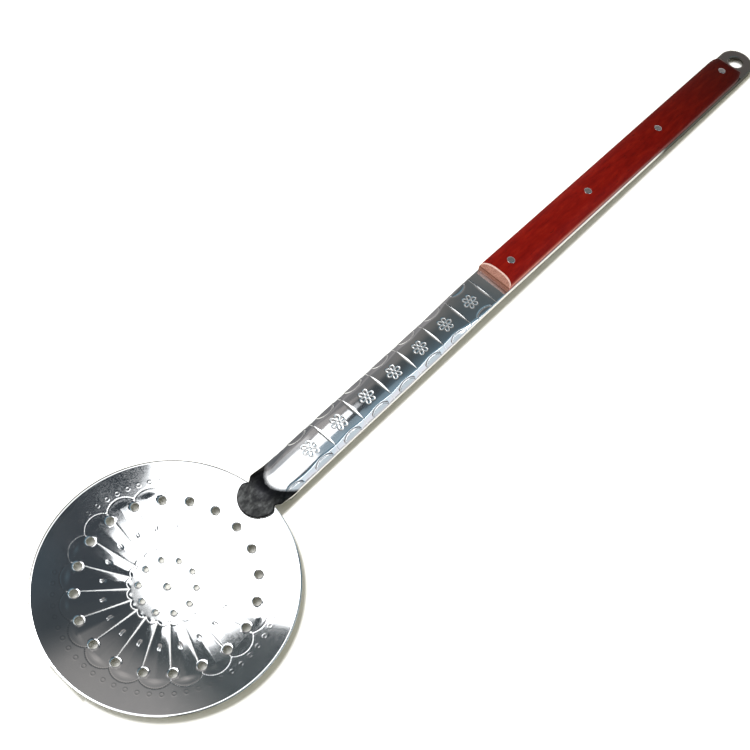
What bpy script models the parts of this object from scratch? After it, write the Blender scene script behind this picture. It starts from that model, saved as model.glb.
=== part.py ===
"""Long-handled skimmer: a pressed steel dish, a channel-shaped steel shank and a riveted wooden grip.

Units are metres, +Z is up and +X runs from the dish to the hanging eye. The skimmer lies on a table at
z = 0, on the flat foot of its dish and on the flanges of its eye. The origin is at the middle of its length
and width.
"""
import math

import bmesh
import bpy

# Dish
RIM_RADIUS = 0.070
DISH_DEPTH = 0.0075
DISH_SHEET = 0.0011
FOOT_RADIUS = 0.009
DISH_CURVE = 1.4
OUTER_HOLE_COUNT = 20
OUTER_RING_RADIUS = 0.0477
OUTER_HOLE_DIAMETER = 0.0049
INNER_HOLE_COUNT = 10
INNER_RING_RADIUS = 0.0150
INNER_HOLE_DIAMETER = 0.0029
CENTRE_HOLE_DIAMETER = 0.0032
PATTERN_TURN = math.radians(-3.475)

# Shank
SHANK_WIDTH = 0.0243
SHANK_SHEET = 0.0012
FLANGE_DEPTH = 0.0055
SHANK_EDGE_RADIUS = 0.0016
TONGUE_LAP = 0.0150
WAIST_SETBACK = 0.0008
WAIST_DEPTH = 0.0020
WAIST_RADIUS = 0.0030
RIM_BEND = 0.003
FLANGE_START = 0.0030
SHANK_RISE = 0.0008
SHANK_BEND = 0.006
BARE_LENGTH = 0.1992
EYE_SETBACK = 0.0099
EYE_BEND = 0.0012
EYE_DIAMETER = 0.0104

# Grip
GRIP_LENGTH = 0.2727
GRIP_INSET = 0.0002
GRIP_SIDE = 0.0037
GRIP_CROWN = 0.0030
GRIP_FULLNESS = 2.4
FACET_RUN = 0.0046

# Rivets
RIVET_COUNT = 4
FIRST_RIVET = 0.0161
LAST_RIVET = 0.0132
RIVET_HEAD_DIAMETER = 0.0060
RIVET_HEAD_HEIGHT = 0.0010
RIVET_DOME = 0.0003
RIVET_RECESS = 0.0011
RIVET_STEM_DIAMETER = 0.0034
RIVET_TAIL_DIAMETER = 0.0052
RIVET_TAIL_HEIGHT = 0.0008

# Clearance between neighbouring pieces, and how far a cutter reaches past what it cuts
GAP = 0.0003
REACH = 0.010

# Mesh resolution
DISH_STEPS = 80
DISH_RINGS = 8
HOLE_SIDES = 16
END_SEGMENTS = 20
EDGE_SEGMENTS = 3
CROWN_SEGMENTS = 20
BEND_SEGMENTS = 4
RIVET_STEPS = 24
DOME_SEGMENTS = 3

# Stations along +X, counted from the middle of the dish
TIP_X = RIM_RADIUS - TONGUE_LAP
FLANGE_X = RIM_RADIUS + FLANGE_START
GRIP_FRONT_X = RIM_RADIUS + BARE_LENGTH
GRIP_BACK_X = GRIP_FRONT_X + GRIP_LENGTH
EYE_X = GRIP_BACK_X + EYE_SETBACK
END_X = EYE_X + SHANK_WIDTH / 2
MIDDLE_X = (END_X - RIM_RADIUS) / 2
RIM_CORNER_X = RIM_RADIUS + RIM_BEND
GRIP_CORNER_X = GRIP_FRONT_X - SHANK_BEND
EYE_CORNER_X = GRIP_BACK_X

COLOURS = {
    "steel": ((0.62, 0.64, 0.66, 1.0), 0.16, 1.0),
    "rivet": ((0.42, 0.43, 0.43, 1.0), 0.30, 1.0),
    "wood": ((0.22, 0.014, 0.009, 1.0), 0.35, 0.0),
}


def dish_height(radius):
    """Height of the dish's inner surface above its own lowest point, at a distance from its axis."""
    reach = max(radius - FOOT_RADIUS, 0.0) / (RIM_RADIUS - FOOT_RADIUS)
    return DISH_DEPTH * reach ** DISH_CURVE


def ramp(distance, half_length):
    """A corner of unit slope at distance 0, rounded over half_length on either side."""
    if distance <= -half_length:
        return 0.0
    if distance >= half_length:
        return distance
    return (distance + half_length) ** 2 / (4 * half_length)


RIM_TOP = DISH_SHEET + DISH_DEPTH
RIM_EDGE_X = math.sqrt(RIM_RADIUS ** 2 - (SHANK_WIDTH / 2) ** 2)
TONGUE_SLOPE = (DISH_DEPTH - dish_height(TIP_X)) / (RIM_EDGE_X - TIP_X)
RIM_CORNER_Z = RIM_TOP + GAP + SHANK_SHEET + TONGUE_SLOPE * (RIM_CORNER_X - RIM_EDGE_X)
NECK_SLOPE = SHANK_RISE / (GRIP_CORNER_X - RIM_CORNER_X)
GRIP_SLOPE = (FLANGE_DEPTH - RIM_CORNER_Z - SHANK_RISE) / (EYE_CORNER_X - GRIP_CORNER_X)


def shank_top(x):
    """Height of the shank's upper face: tongue, neck, stretch under the grip and level eye."""
    return (RIM_CORNER_Z + TONGUE_SLOPE * (x - RIM_CORNER_X)
            + (NECK_SLOPE - TONGUE_SLOPE) * ramp(x - RIM_CORNER_X, RIM_BEND)
            + (GRIP_SLOPE - NECK_SLOPE) * ramp(x - GRIP_CORNER_X, SHANK_BEND)
            - GRIP_SLOPE * ramp(x - EYE_CORNER_X, EYE_BEND))


def bend_stations():
    """Places along the shank where the flat blank is creased so that it can follow shank_top."""
    stations = []
    for corner, half in ((RIM_CORNER_X, RIM_BEND), (GRIP_CORNER_X, SHANK_BEND), (EYE_CORNER_X, EYE_BEND)):
        stations += [corner - half + 2 * half * i / BEND_SEGMENTS for i in range(BEND_SEGMENTS + 1)]
    return stations


for old in list(bpy.data.objects):
    bpy.data.objects.remove(old, do_unlink=True)

parts = bpy.data.collections.new("skimmer")
cutters = bpy.data.collections.new("skimmer_cutters")
for collection in (parts, cutters):
    bpy.context.scene.collection.children.link(collection)


def make_material(name):
    colour, roughness, metallic = COLOURS[name]
    material = bpy.data.materials.new(name)
    material.use_nodes = True
    shader = material.node_tree.nodes["Principled BSDF"]
    shader.inputs["Base Color"].default_value = colour
    shader.inputs["Roughness"].default_value = roughness
    shader.inputs["Metallic"].default_value = metallic
    return material


MATERIALS = {name: make_material(name) for name in COLOURS}


def make_empty(name, location, rotation=(0.0, 0.0, 0.0), parent=None):
    empty = bpy.data.objects.new(name, None)
    empty.location = location
    empty.rotation_euler = rotation
    empty.parent = parent
    parts.objects.link(empty)
    return empty


def add_part(name, mesh, material, parent):
    mesh.materials.clear()
    mesh.materials.append(MATERIALS[material])
    mesh.shade_smooth()
    mesh.set_sharp_from_angle(angle=math.radians(30))
    part = bpy.data.objects.new(name, mesh)
    part.parent = parent
    parts.objects.link(part)
    return part


def add_cutter(name, mesh, parent):
    cutter = bpy.data.objects.new(name, mesh)
    cutter.parent = parent
    cutter.hide_render = True
    cutter.display_type = "WIRE"
    cutters.objects.link(cutter)
    return cutter


def cut(part, cutter, solver="EXACT"):
    modifier = part.modifiers.new(cutter.name, "BOOLEAN")
    modifier.operation = "DIFFERENCE"
    modifier.solver = solver
    modifier.object = cutter


def evaluated_mesh(source):
    """A welded mesh of an object as its modifiers or its curve leave it, in the object's own frame."""
    graph = bpy.context.evaluated_depsgraph_get()
    mesh = bpy.data.meshes.new_from_object(source.evaluated_get(graph))
    shell = bmesh.new()
    shell.from_mesh(mesh)
    bmesh.ops.remove_doubles(shell, verts=shell.verts, dist=1e-6)
    shell.to_mesh(mesh)
    shell.free()
    return mesh


def outline_mesh(name, points, low, high):
    """A flat outline in X and Y, filled between the heights low and high."""
    curve = bpy.data.curves.new(name, "CURVE")
    curve.dimensions = "2D"
    curve.fill_mode = "BOTH"
    curve.extrude = (high - low) / 2
    spline = curve.splines.new("POLY")
    spline.points.add(len(points) - 1)
    for spot, (x, y) in zip(spline.points, points):
        spot.co = (x, y, 0.0, 1.0)
    spline.use_cyclic_u = True
    holder = bpy.data.objects.new(name, curve)
    cutters.objects.link(holder)
    mesh = evaluated_mesh(holder)
    bpy.data.objects.remove(holder)
    bpy.data.curves.remove(curve)
    for vertex in mesh.vertices:
        vertex.co.z += (high + low) / 2
    return mesh


def turn_mesh(mesh, new_axes):
    """Put an outline in another plane: (2, 0, 1) takes the model's X, Y, Z from the outline's Z, X, Y."""
    for vertex in mesh.vertices:
        vertex.co = [vertex.co[axis] for axis in new_axes]
    return mesh


def arc(centre, radius, start, stop, segments):
    """Points along a circle, from the angle start to the angle stop in degrees."""
    angles = [math.radians(start + (stop - start) * i / segments) for i in range(segments + 1)]
    return [(centre[0] + radius * math.cos(a), centre[1] + radius * math.sin(a)) for a in angles]


def cylinders_mesh(name, centres, diameter, low, high, sides=HOLE_SIDES):
    """Upright cylinders in one mesh."""
    mesh = bpy.data.meshes.new(name)
    shell = bmesh.new()
    for x, y in centres:
        made = bmesh.ops.create_cone(shell, cap_ends=True, segments=sides, radius1=diameter / 2,
                                     radius2=diameter / 2, depth=high - low)
        bmesh.ops.translate(shell, verts=made["verts"], vec=(x, y, (high + low) / 2))
    shell.to_mesh(mesh)
    shell.free()
    return mesh


def turned_mesh(name, profile, steps, closed):
    """Turn a profile of (radius, height) points about Z. The profile runs down its outer side."""
    mesh = bpy.data.meshes.new(name)
    count = len(profile)
    edges = [(i, i + 1) for i in range(count - 1)]
    if closed:
        edges.append((count - 1, 0))
    mesh.from_pydata([(radius, 0.0, height) for radius, height in profile], edges, [])
    holder = bpy.data.objects.new(name, mesh)
    cutters.objects.link(holder)
    screw = holder.modifiers.new("turn", "SCREW")
    screw.steps = steps
    screw.render_steps = steps
    screw.use_merge_vertices = True
    screw.merge_threshold = 1e-6
    turned = evaluated_mesh(holder)
    bpy.data.objects.remove(holder)
    bpy.data.meshes.remove(mesh)
    return turned


def ring_points(count, radius, turn):
    angles = [turn + 2 * math.pi * i / count for i in range(count)]
    return [(radius * math.cos(a), radius * math.sin(a)) for a in angles]


def make_dish(root):
    """The pressed sheet, turned from its section, with the drain holes punched through it."""
    hole = CENTRE_HOLE_DIAMETER / 2
    radii = [hole, FOOT_RADIUS]
    radii += [FOOT_RADIUS + (RIM_RADIUS - FOOT_RADIUS) * i / DISH_RINGS for i in range(1, DISH_RINGS + 1)]
    inside = [(radius, DISH_SHEET + dish_height(radius)) for radius in radii]
    outside = [(radius, dish_height(radius)) for radius in reversed(radii)]
    dish = add_part("dish", turned_mesh("dish", inside + outside, DISH_STEPS, closed=True), "steel", root)
    outer = ring_points(OUTER_HOLE_COUNT, OUTER_RING_RADIUS, PATTERN_TURN)
    half_pitch = math.pi / OUTER_HOLE_COUNT
    inner = ring_points(INNER_HOLE_COUNT, INNER_RING_RADIUS, PATTERN_TURN - half_pitch)
    for name, centres, diameter in (("outer_holes", outer, OUTER_HOLE_DIAMETER),
                                    ("inner_holes", inner, INNER_HOLE_DIAMETER)):
        mesh = cylinders_mesh(name, centres, diameter, -REACH, RIM_TOP + REACH)
        cut(dish, add_cutter(name, mesh, root))


def shank_outline(inset):
    """Plan of the strip: round tongue at the dish, round eye at the far end."""
    radius = SHANK_WIDTH / 2
    tongue = arc((TIP_X + radius, 0.0), radius - inset, 90, 270, END_SEGMENTS)
    eye = arc((EYE_X, 0.0), radius - inset, -90, 90, END_SEGMENTS)
    return tongue + eye


def rivet_stations():
    first = GRIP_FRONT_X + FIRST_RIVET
    pitch = (GRIP_LENGTH - FIRST_RIVET - LAST_RIVET) / (RIVET_COUNT - 1)
    return [first + pitch * i for i in range(RIVET_COUNT)]


def round_upper_edge(shell):
    """Round the edge where the blank's upper face turns down into its sides."""
    rim = [edge for edge in shell.edges
           if all(abs(vertex.co.z) < 1e-6 for vertex in edge.verts) and len(edge.link_faces) == 2
           and any(abs(face.normal.z) < 0.5 for face in edge.link_faces)]
    bmesh.ops.bevel(shell, geom=rim, offset=SHANK_EDGE_RADIUS, offset_type="OFFSET",
                    segments=EDGE_SEGMENTS, profile=0.5, affect="EDGES")


def make_shank(root):
    """A flat stamped blank with flanges, creased and bent to the shape of shank_top."""
    blank_mesh = outline_mesh("shank_blank", shank_outline(0.0), -FLANGE_DEPTH, 0.0)
    shell = bmesh.new()
    shell.from_mesh(blank_mesh)
    bmesh.ops.dissolve_limit(shell, angle_limit=1e-4, verts=shell.verts, edges=shell.edges)
    round_upper_edge(shell)
    shell.to_mesh(blank_mesh)
    shell.free()
    blank = bpy.data.objects.new("shank_blank", blank_mesh)
    cutters.objects.link(blank)

    under = -SHANK_SHEET
    below = -FLANGE_DEPTH - REACH
    channel = outline_mesh("shank_channel", shank_outline(SHANK_SHEET), below, under)
    fillet = FLANGE_DEPTH - SHANK_SHEET
    corner = arc((FLANGE_X - fillet, under - fillet), fillet, 0, 90, END_SEGMENTS // 2)
    lap = [(FLANGE_X, below)] + corner + [(TIP_X - REACH, under), (TIP_X - REACH, below)]
    tongue = turn_mesh(outline_mesh("tongue_relief", lap, -SHANK_WIDTH, SHANK_WIDTH), (0, 2, 1))
    tongue.flip_normals()
    eye = cylinders_mesh("eye_hole", [(EYE_X, 0.0)], EYE_DIAMETER, below, REACH, END_SEGMENTS)
    stems = cylinders_mesh("shank_stem_holes", [(x, 0.0) for x in rivet_stations()],
                           RIVET_STEM_DIAMETER + 2 * GAP, below, REACH)
    beside = SHANK_WIDTH / 2 + WAIST_RADIUS - WAIST_DEPTH
    waist = cylinders_mesh("waist_notches", [(RIM_RADIUS - WAIST_SETBACK, side * beside) for side in (-1, 1)],
                           2 * WAIST_RADIUS, below, REACH, END_SEGMENTS)
    for mesh in (stems, eye, channel, tongue, waist):
        cut(blank, add_cutter(mesh.name, mesh, None), "MANIFOLD")

    mesh = evaluated_mesh(blank)
    bpy.data.objects.remove(blank)
    bpy.data.meshes.remove(blank_mesh)
    shell = bmesh.new()
    shell.from_mesh(mesh)
    for x in bend_stations():
        geometry = list(shell.verts) + list(shell.edges) + list(shell.faces)
        bmesh.ops.bisect_plane(shell, geom=geometry, plane_co=(x, 0, 0), plane_no=(1, 0, 0), dist=1e-6)
    for vertex in shell.verts:
        vertex.co.z += shank_top(vertex.co.x)
    shell.to_mesh(mesh)
    shell.free()
    add_part("shank", mesh, "steel", root)


def crown(offset):
    """Height of the grip's rounded top above its straight sides, at a distance from its middle."""
    share = min(abs(offset) / (SHANK_WIDTH / 2 - GRIP_INSET), 1.0)
    return GRIP_CROWN * (1.0 - share ** GRIP_FULLNESS) ** (1.0 / GRIP_FULLNESS)


def facet_cutter(name, end_x, inward):
    """A wedge that slants one end of the grip from the top of its sides to its crown."""
    slope = GRIP_CROWN / FACET_RUN
    low = (end_x - inward * REACH, GRIP_SIDE - slope * REACH)
    high = (end_x + inward * (FACET_RUN + REACH), GRIP_SIDE + slope * (FACET_RUN + REACH))
    corner = (low[0], high[1])
    outline = [low, high, corner] if inward > 0 else [low, corner, high]
    mesh = turn_mesh(outline_mesh(name, outline, -SHANK_WIDTH, SHANK_WIDTH), (0, 2, 1))
    mesh.flip_normals()
    return mesh


def make_grip(seat):
    """The wooden scale on the shank: straight sides, crowned top, both ends slanted, holes for the rivets."""
    half = SHANK_WIDTH / 2 - GRIP_INSET
    angles = [math.pi * i / CROWN_SEGMENTS for i in range(CROWN_SEGMENTS + 1)]
    section = [(half * math.cos(a), GAP + GRIP_SIDE + crown(half * math.cos(a))) for a in angles]
    section += [(-half, GAP), (half, GAP)]
    mesh = turn_mesh(outline_mesh("grip", section, 0.0, GRIP_LENGTH), (2, 0, 1))
    grip = add_part("grip", mesh, "wood", seat)
    for name, end_x, inward in (("front_facet", 0.0, 1), ("back_facet", GRIP_LENGTH, -1)):
        wedge = add_cutter(name, facet_cutter(name, end_x, inward), seat)
        wedge.location.z = GAP
        cut(grip, wedge)
    centres = [(x - GRIP_FRONT_X, 0.0) for x in rivet_stations()]
    top = GAP + GRIP_SIDE + GRIP_CROWN
    stems = cylinders_mesh("grip_stem_holes", centres, RIVET_STEM_DIAMETER + 2 * GAP, -REACH, top + REACH)
    heads = cylinders_mesh("grip_head_holes", centres, RIVET_HEAD_DIAMETER + 2 * GAP, top - RIVET_RECESS,
                           top + REACH, RIVET_STEPS)
    for mesh in (stems, heads):
        cut(grip, add_cutter(mesh.name, mesh, seat))


def make_rivets(seat):
    """Rivets with a low domed head in the wood and a flat tail under the shank."""
    head_low = GAP + GRIP_SIDE + GRIP_CROWN - RIVET_RECESS + GAP
    head_side = head_low + RIVET_HEAD_HEIGHT - RIVET_DOME
    tail_top = -SHANK_SHEET - GAP
    head = RIVET_HEAD_DIAMETER / 2
    stem = RIVET_STEM_DIAMETER / 2
    tail = RIVET_TAIL_DIAMETER / 2
    angles = [math.pi / 2 * i / DOME_SEGMENTS for i in range(DOME_SEGMENTS + 1)]
    dome = [(head * math.sin(a), head_side + RIVET_DOME * math.cos(a)) for a in angles]
    profile = dome + [(head, head_low), (stem, head_low), (stem, tail_top), (tail, tail_top),
                      (tail, tail_top - RIVET_TAIL_HEIGHT), (0.0, tail_top - RIVET_TAIL_HEIGHT)]
    mesh = turned_mesh("rivet", profile, RIVET_STEPS, closed=False)
    for number, x in enumerate(rivet_stations(), start=1):
        rivet = add_part(f"rivet_{number}", mesh, "rivet", seat)
        rivet.location.x = x - GRIP_FRONT_X


dish_axis = make_empty("dish_axis", (-MIDDLE_X, 0.0, 0.0))
grip_seat = make_empty("grip_seat", (GRIP_FRONT_X, 0.0, shank_top(GRIP_FRONT_X)),
                       (0.0, -math.atan(GRIP_SLOPE), 0.0), dish_axis)
make_dish(dish_axis)
make_shank(dish_axis)
make_grip(grip_seat)
make_rivets(grip_seat)
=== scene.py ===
"""Looks of the long-handled skimmer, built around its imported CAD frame.

Metres, with +X from the dish to the eye. Shapes are built about the axis of the dish and then set in place.
"""
import math

import bpy
import numpy as np
from mathutils import Matrix, Vector
from mathutils.geometry import delaunay_2d_cdt


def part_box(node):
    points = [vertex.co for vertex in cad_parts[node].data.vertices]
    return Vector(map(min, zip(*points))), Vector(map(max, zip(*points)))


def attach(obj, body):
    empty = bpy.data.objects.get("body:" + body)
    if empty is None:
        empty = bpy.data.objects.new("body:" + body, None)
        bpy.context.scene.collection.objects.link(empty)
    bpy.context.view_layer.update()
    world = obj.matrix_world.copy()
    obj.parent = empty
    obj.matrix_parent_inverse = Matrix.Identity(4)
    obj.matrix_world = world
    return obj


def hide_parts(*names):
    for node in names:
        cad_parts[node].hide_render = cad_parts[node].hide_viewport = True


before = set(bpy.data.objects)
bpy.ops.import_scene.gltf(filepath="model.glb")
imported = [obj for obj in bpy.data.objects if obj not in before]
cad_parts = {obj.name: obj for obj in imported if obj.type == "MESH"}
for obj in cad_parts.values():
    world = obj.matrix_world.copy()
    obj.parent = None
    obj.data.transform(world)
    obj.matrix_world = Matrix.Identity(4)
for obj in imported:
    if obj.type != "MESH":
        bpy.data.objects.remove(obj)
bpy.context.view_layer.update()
MM = 0.001


def mm(*sizes):
    """Sizes in millimetres as metres."""
    return tuple(size * MM for size in sizes)


def soft(place, start, end):
    """Start and end of a soft limit, in millimetres from a place."""
    return place + start * MM, place + end * MM


# Sizes shared with the CAD: the boxes of its nodes give the places, the rest are its driving dimensions
DISH_LOW, DISH_HIGH = (np.array(corner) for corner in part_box("dish"))
SHANK_LOW, SHANK_HIGH = (np.array(corner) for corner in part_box("shank"))
DISH_X = float(DISH_LOW[0] + DISH_HIGH[0]) / 2
RIM_RADIUS = float(DISH_HIGH[0] - DISH_LOW[0]) / 2
RIM_TOP = float(DISH_HIGH[2])
DISH_SHEET = 1.1 * MM
DISH_DEPTH = RIM_TOP - DISH_SHEET
FOOT_RADIUS = 9.0 * MM
DISH_CURVE = 1.4
HOLE_COUNT, HOLE_RING, HOLE_RADIUS = 20, 47.7 * MM, 2.45 * MM
INNER_COUNT, INNER_RING, INNER_RADIUS = 10, 15.0 * MM, 1.45 * MM
CENTRE_RADIUS = 1.6 * MM
HOLE_TURN = math.radians(-3.475)
HOLE_PITCH = 2 * math.pi / HOLE_COUNT

SHANK_WIDTH = float(SHANK_HIGH[1] - SHANK_LOW[1])
HALF_WIDTH = SHANK_WIDTH / 2
SHANK_SHEET = 1.2 * MM
FLANGE_DEPTH = 5.5 * MM
FLANGE_START = 3.0 * MM
RIM_BEND, SHANK_BEND, EYE_BEND = mm(3.0, 6.0, 1.2)
SHANK_RISE = 0.8 * MM
BARE_LENGTH = 199.2 * MM
EYE_RADIUS = 5.2 * MM
GRIP_LENGTH = 272.7 * MM
GRIP_INSET = 0.2 * MM
GRIP_SIDE = 3.7 * MM
GRIP_CROWN = 3.0 * MM
GRIP_FULLNESS = 2.4
FACET_RUN = 4.6 * MM
RIVET_COUNT, FIRST_RIVET, LAST_RIVET = 4, 16.1 * MM, 13.2 * MM
GAP = 0.3 * MM

# Stations along the handle, measured from the axis of the dish
TIP_X = float(SHANK_LOW[0]) - DISH_X
END_X = float(SHANK_HIGH[0]) - DISH_X
EYE_X = END_X - HALF_WIDTH
TONGUE_CENTRE_X = TIP_X + HALF_WIDTH
GRIP_FRONT_X = RIM_RADIUS + BARE_LENGTH
GRIP_BACK_X = GRIP_FRONT_X + GRIP_LENGTH
RIM_CORNER_X = RIM_RADIUS + RIM_BEND
GRIP_CORNER_X = GRIP_FRONT_X - SHANK_BEND
RIM_EDGE_X = math.sqrt(RIM_RADIUS ** 2 - HALF_WIDTH ** 2)
RIVET_STEP = (GRIP_LENGTH - FIRST_RIVET - LAST_RIVET) / (RIVET_COUNT - 1)


# Shapes shared with the CAD
def bowl(radius):
    """Inner surface of the dish above its lowest point."""
    reach = np.maximum(np.asarray(radius, float) - FOOT_RADIUS, 0.0) / (RIM_RADIUS - FOOT_RADIUS)
    return DISH_DEPTH * reach ** DISH_CURVE


def ramp(distance, half_length):
    """Zero before a bend and the distance after it, rounded over the bend."""
    bent = (distance + half_length) ** 2 / (4 * half_length)
    return np.where(distance <= -half_length, 0.0, np.where(distance >= half_length, distance, bent))


TONGUE_SLOPE = float(DISH_DEPTH - bowl(TIP_X)) / (RIM_EDGE_X - TIP_X)
RIM_CORNER_Z = RIM_TOP + GAP + SHANK_SHEET + TONGUE_SLOPE * (RIM_CORNER_X - RIM_EDGE_X)
NECK_SLOPE = SHANK_RISE / (GRIP_CORNER_X - RIM_CORNER_X)
GRIP_SLOPE = (FLANGE_DEPTH - RIM_CORNER_Z - SHANK_RISE) / (GRIP_BACK_X - GRIP_CORNER_X)

# Gentle set of the bent strip: slope in degrees at stations in millimetres from the dish's axis
SET_STATIONS = (69.5, 72.0, 75.0, 77.5, 81.0, 100.0, 120.0, 150.0, 180.0)
SET_SLOPES = (0.0, -6.0, -7.0, -1.0, 1.0, 1.3, 0.8, -0.2, 0.0)
SET_COUNT = 529
SET_PLACES = np.linspace(SET_STATIONS[0], SET_STATIONS[-1], SET_COUNT) * MM
SET_GRADES = np.tan(np.radians(np.interp(SET_PLACES / MM, SET_STATIONS, SET_SLOPES)))
SET_RISES = np.concatenate([[0.0], np.cumsum((SET_GRADES[1:] + SET_GRADES[:-1]) / 2 * np.diff(SET_PLACES))])
SET_RISES = SET_RISES - SET_RISES[-1] * np.linspace(0.0, 1.0, SET_COUNT)


def shank_top(x):
    """Height of the middle of the shank's upper face."""
    x = np.asarray(x, float)
    return (np.interp(x, SET_PLACES, SET_RISES) + RIM_CORNER_Z + TONGUE_SLOPE * (x - RIM_CORNER_X)
            + (NECK_SLOPE - TONGUE_SLOPE) * ramp(x - RIM_CORNER_X, RIM_BEND)
            + (GRIP_SLOPE - NECK_SLOPE) * ramp(x - GRIP_CORNER_X, SHANK_BEND)
            - GRIP_SLOPE * ramp(x - GRIP_BACK_X, EYE_BEND))


# Profiles of pressed lines
def smooth_step(value, start, end):
    share = np.clip((np.asarray(value, float) - start) / (end - start), 0.0, 1.0)
    return share * share * (3 - 2 * share)


def between(value, rise, fall):
    """One between two soft limits and zero outside them."""
    return smooth_step(value, *rise) * (1 - smooth_step(value, *fall))


def ridge(distance, width):
    """Rounded cross-section of a pressed line."""
    return np.exp(-(distance / width) ** 2)


def taper(ends, share):
    """From the first to the second of two values."""
    return ends[0] + (ends[1] - ends[0]) * share


def fold(place, start, pitch):
    """Angle or distance from the nearest of lines a pitch apart."""
    return (place - start + pitch / 2) % pitch - pitch / 2


def beside_spoke(radius, angle, turn, pitch, ring):
    """Places along and across the nearest spoke, from its point on a ring."""
    off = fold(angle, turn, pitch)
    return radius * np.cos(off) - ring, radius * np.sin(off)


class Pressing:
    """Height that the tool adds to a sheet, and how satin and how stained it leaves each place. The satin
    share is also painted paler, a painted highlight; the stained share is partly painted shade.
    """

    def __init__(self):
        self.height = self.satin_and_highlight = self.stain_and_shade = 0.0

    def add(self, mark, height=0.0, satin_and_highlight=0.0, stain_and_shade=0.0):
        """Add a mark, as a share at each place, with its height in millimetres."""
        self.height = self.height + height * MM * mark
        self.satin_and_highlight = self.satin_and_highlight + satin_and_highlight * mark
        self.stain_and_shade = self.stain_and_shade + stain_and_shade * mark

    def line(self, kind, mask, distance, share=0.0):
        """Add a line of a kind, at a share of the way from its first to its last values."""
        width, *looks = (taper(value, share) if isinstance(value, tuple) else value for value in kind)
        self.add(mask * ridge(distance, width * MM), *looks)


# Mesh helpers
FINE = 0.25 * MM
SLIVER = 0.001 * MM * MM
SNAP, SNAP_SHIFT = 0.02 * MM, 0.137
GRADE_FINE, GRADE_MIDDLE = mm(0.5, 1.3)
NOWHERE = 1.0


def triangulate(points, loops, inside):
    """Delaunay triangles over points, with the loops as edges, kept where inside(centroid) is true."""
    places = [Vector((float(x) / MM, float(y) / MM)) for x, y in points]
    edges = [(int(a), int(b)) for loop in loops for a, b in zip(loop[:-1], loop[1:])]
    verts, _, faces, *_ = delaunay_2d_cdt(places, edges, [], 0, 1e-6)
    verts = np.array([(v.x, v.y) for v in verts]) * MM
    faces = np.array([f for f in faces if len(f) == 3])
    corners = verts[faces]
    first, second = corners[:, 1] - corners[:, 0], corners[:, 2] - corners[:, 0]
    area = np.abs(first[:, 0] * second[:, 1] - first[:, 1] * second[:, 0]) / 2
    return verts, faces[inside(*corners.mean(axis=1).T) & (area > SLIVER)]


def snap(places):
    """Cells of a fine grid, shifted so that no place falls on the border of two cells."""
    return np.round(places / SNAP + SNAP_SHIFT)


def merge_close(verts, faces):
    """Join verts that share a place, as on the seams between repeated sectors."""
    keys = snap(verts).astype(np.int64)
    _, first, index = np.unique(keys, axis=0, return_index=True, return_inverse=True)
    return verts[first], index.reshape(-1)[faces]


def border_edges(faces):
    """Directed edges that only one triangle uses."""
    edges = np.concatenate([faces[:, [0, 1]], faces[:, [1, 2]], faces[:, [2, 0]]])
    key = np.sort(edges, axis=1)
    _, index, count = np.unique(key, axis=0, return_inverse=True, return_counts=True)
    return edges[count[index.reshape(-1)] == 1]


def lattice_step(near):
    """Step in units of FINE: small close to a pressed line, larger on the plain sheet."""
    return np.where(near < GRADE_FINE, 1, np.where(near < GRADE_MIDDLE, 2, 4))


def polar(radius, angle):
    return np.stack([radius * np.cos(angle), radius * np.sin(angle)], axis=-1)


def circle(x, y, radius, count):
    return polar(radius, 2 * np.pi * np.arange(count) / count) + (x, y)


def closed_loop(start, count):
    return np.append(np.arange(count), 0) + start


def add_lips(points, loops, holes, lips):
    """Add rings of points round the holes, at distances from their edges."""
    count = sum(len(part) for part in points)
    for x, y, radius, corners in holes:
        for lip in lips:
            points.append(circle(x, y, radius + lip, corners))
            loops.append(closed_loop(count, corners))
            count += corners


def clear_of(holes, x, y, margin=None):
    """Where places lie outside the polygons of all holes, or a margin outside their circles."""
    clear = np.ones(np.shape(x), bool)
    for hole_x, hole_y, radius, corners in holes:
        limit = radius * math.cos(math.pi / corners) if margin is None else radius + margin
        clear &= np.hypot(x - hole_x, y - hole_y) > limit
    return clear


def scene_object(name, data):
    obj = bpy.data.objects.new(name, data)
    bpy.context.collection.objects.link(obj)
    return obj


def mesh_object(name, verts, faces, sharp, marks=None):
    """Smooth object, with a share at each vertex for every kind of mark."""
    mesh = bpy.data.meshes.new(name)
    mesh.from_pydata([tuple(v) for v in np.asarray(verts, float).tolist()], [], faces)
    for mark, shares in (marks or {}).items():
        mesh.attributes.new(mark, "FLOAT", "POINT").data.foreach_set("value", np.clip(shares, 0.0, 1.0))
    mesh.validate()
    mesh.shade_smooth()
    mesh.set_sharp_from_angle(angle=math.radians(sharp))
    return scene_object(name, mesh)


class Shell:
    """A closed sheet, gathered part by part, with its marks of pressing and staining; the pressing marks
    carry a painted highlight and the staining is partly painted shade.
    """

    SHARP = 50.0

    def __init__(self):
        self.verts, self.faces, self.pressed, self.stained_and_shaded = [], [], [], []

    def add(self, verts, pressed=None, stained_and_shaded=None):
        """Add verts and return their numbers."""
        start = sum(len(part) for part in self.verts)
        self.verts.append(np.asarray(verts, float))
        for marks, shares in ((self.pressed, pressed), (self.stained_and_shaded, stained_and_shaded)):
            marks.append(np.zeros(len(verts)) if shares is None else shares)
        return start + np.arange(len(verts))

    def cover(self, numbers, faces):
        self.faces += [tuple(face) for face in numbers[faces].tolist()]

    def bridge(self, rings, edges):
        """Strip of faces from the first ring to the last along every edge."""
        rings = [ring.tolist() for ring in rings]
        for a, b in edges.tolist():
            self.faces += [(ring[b], ring[a], after[a], after[b]) for ring, after in zip(rings, rings[1:])]

    def build(self, name):
        marks = {"pressed": np.concatenate(self.pressed), "stained_and_shaded": np.concatenate(self.stained_and_shaded)}
        obj = mesh_object(name, np.concatenate(self.verts), self.faces, self.SHARP, marks)
        obj.location.x = DISH_X
        return obj


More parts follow.
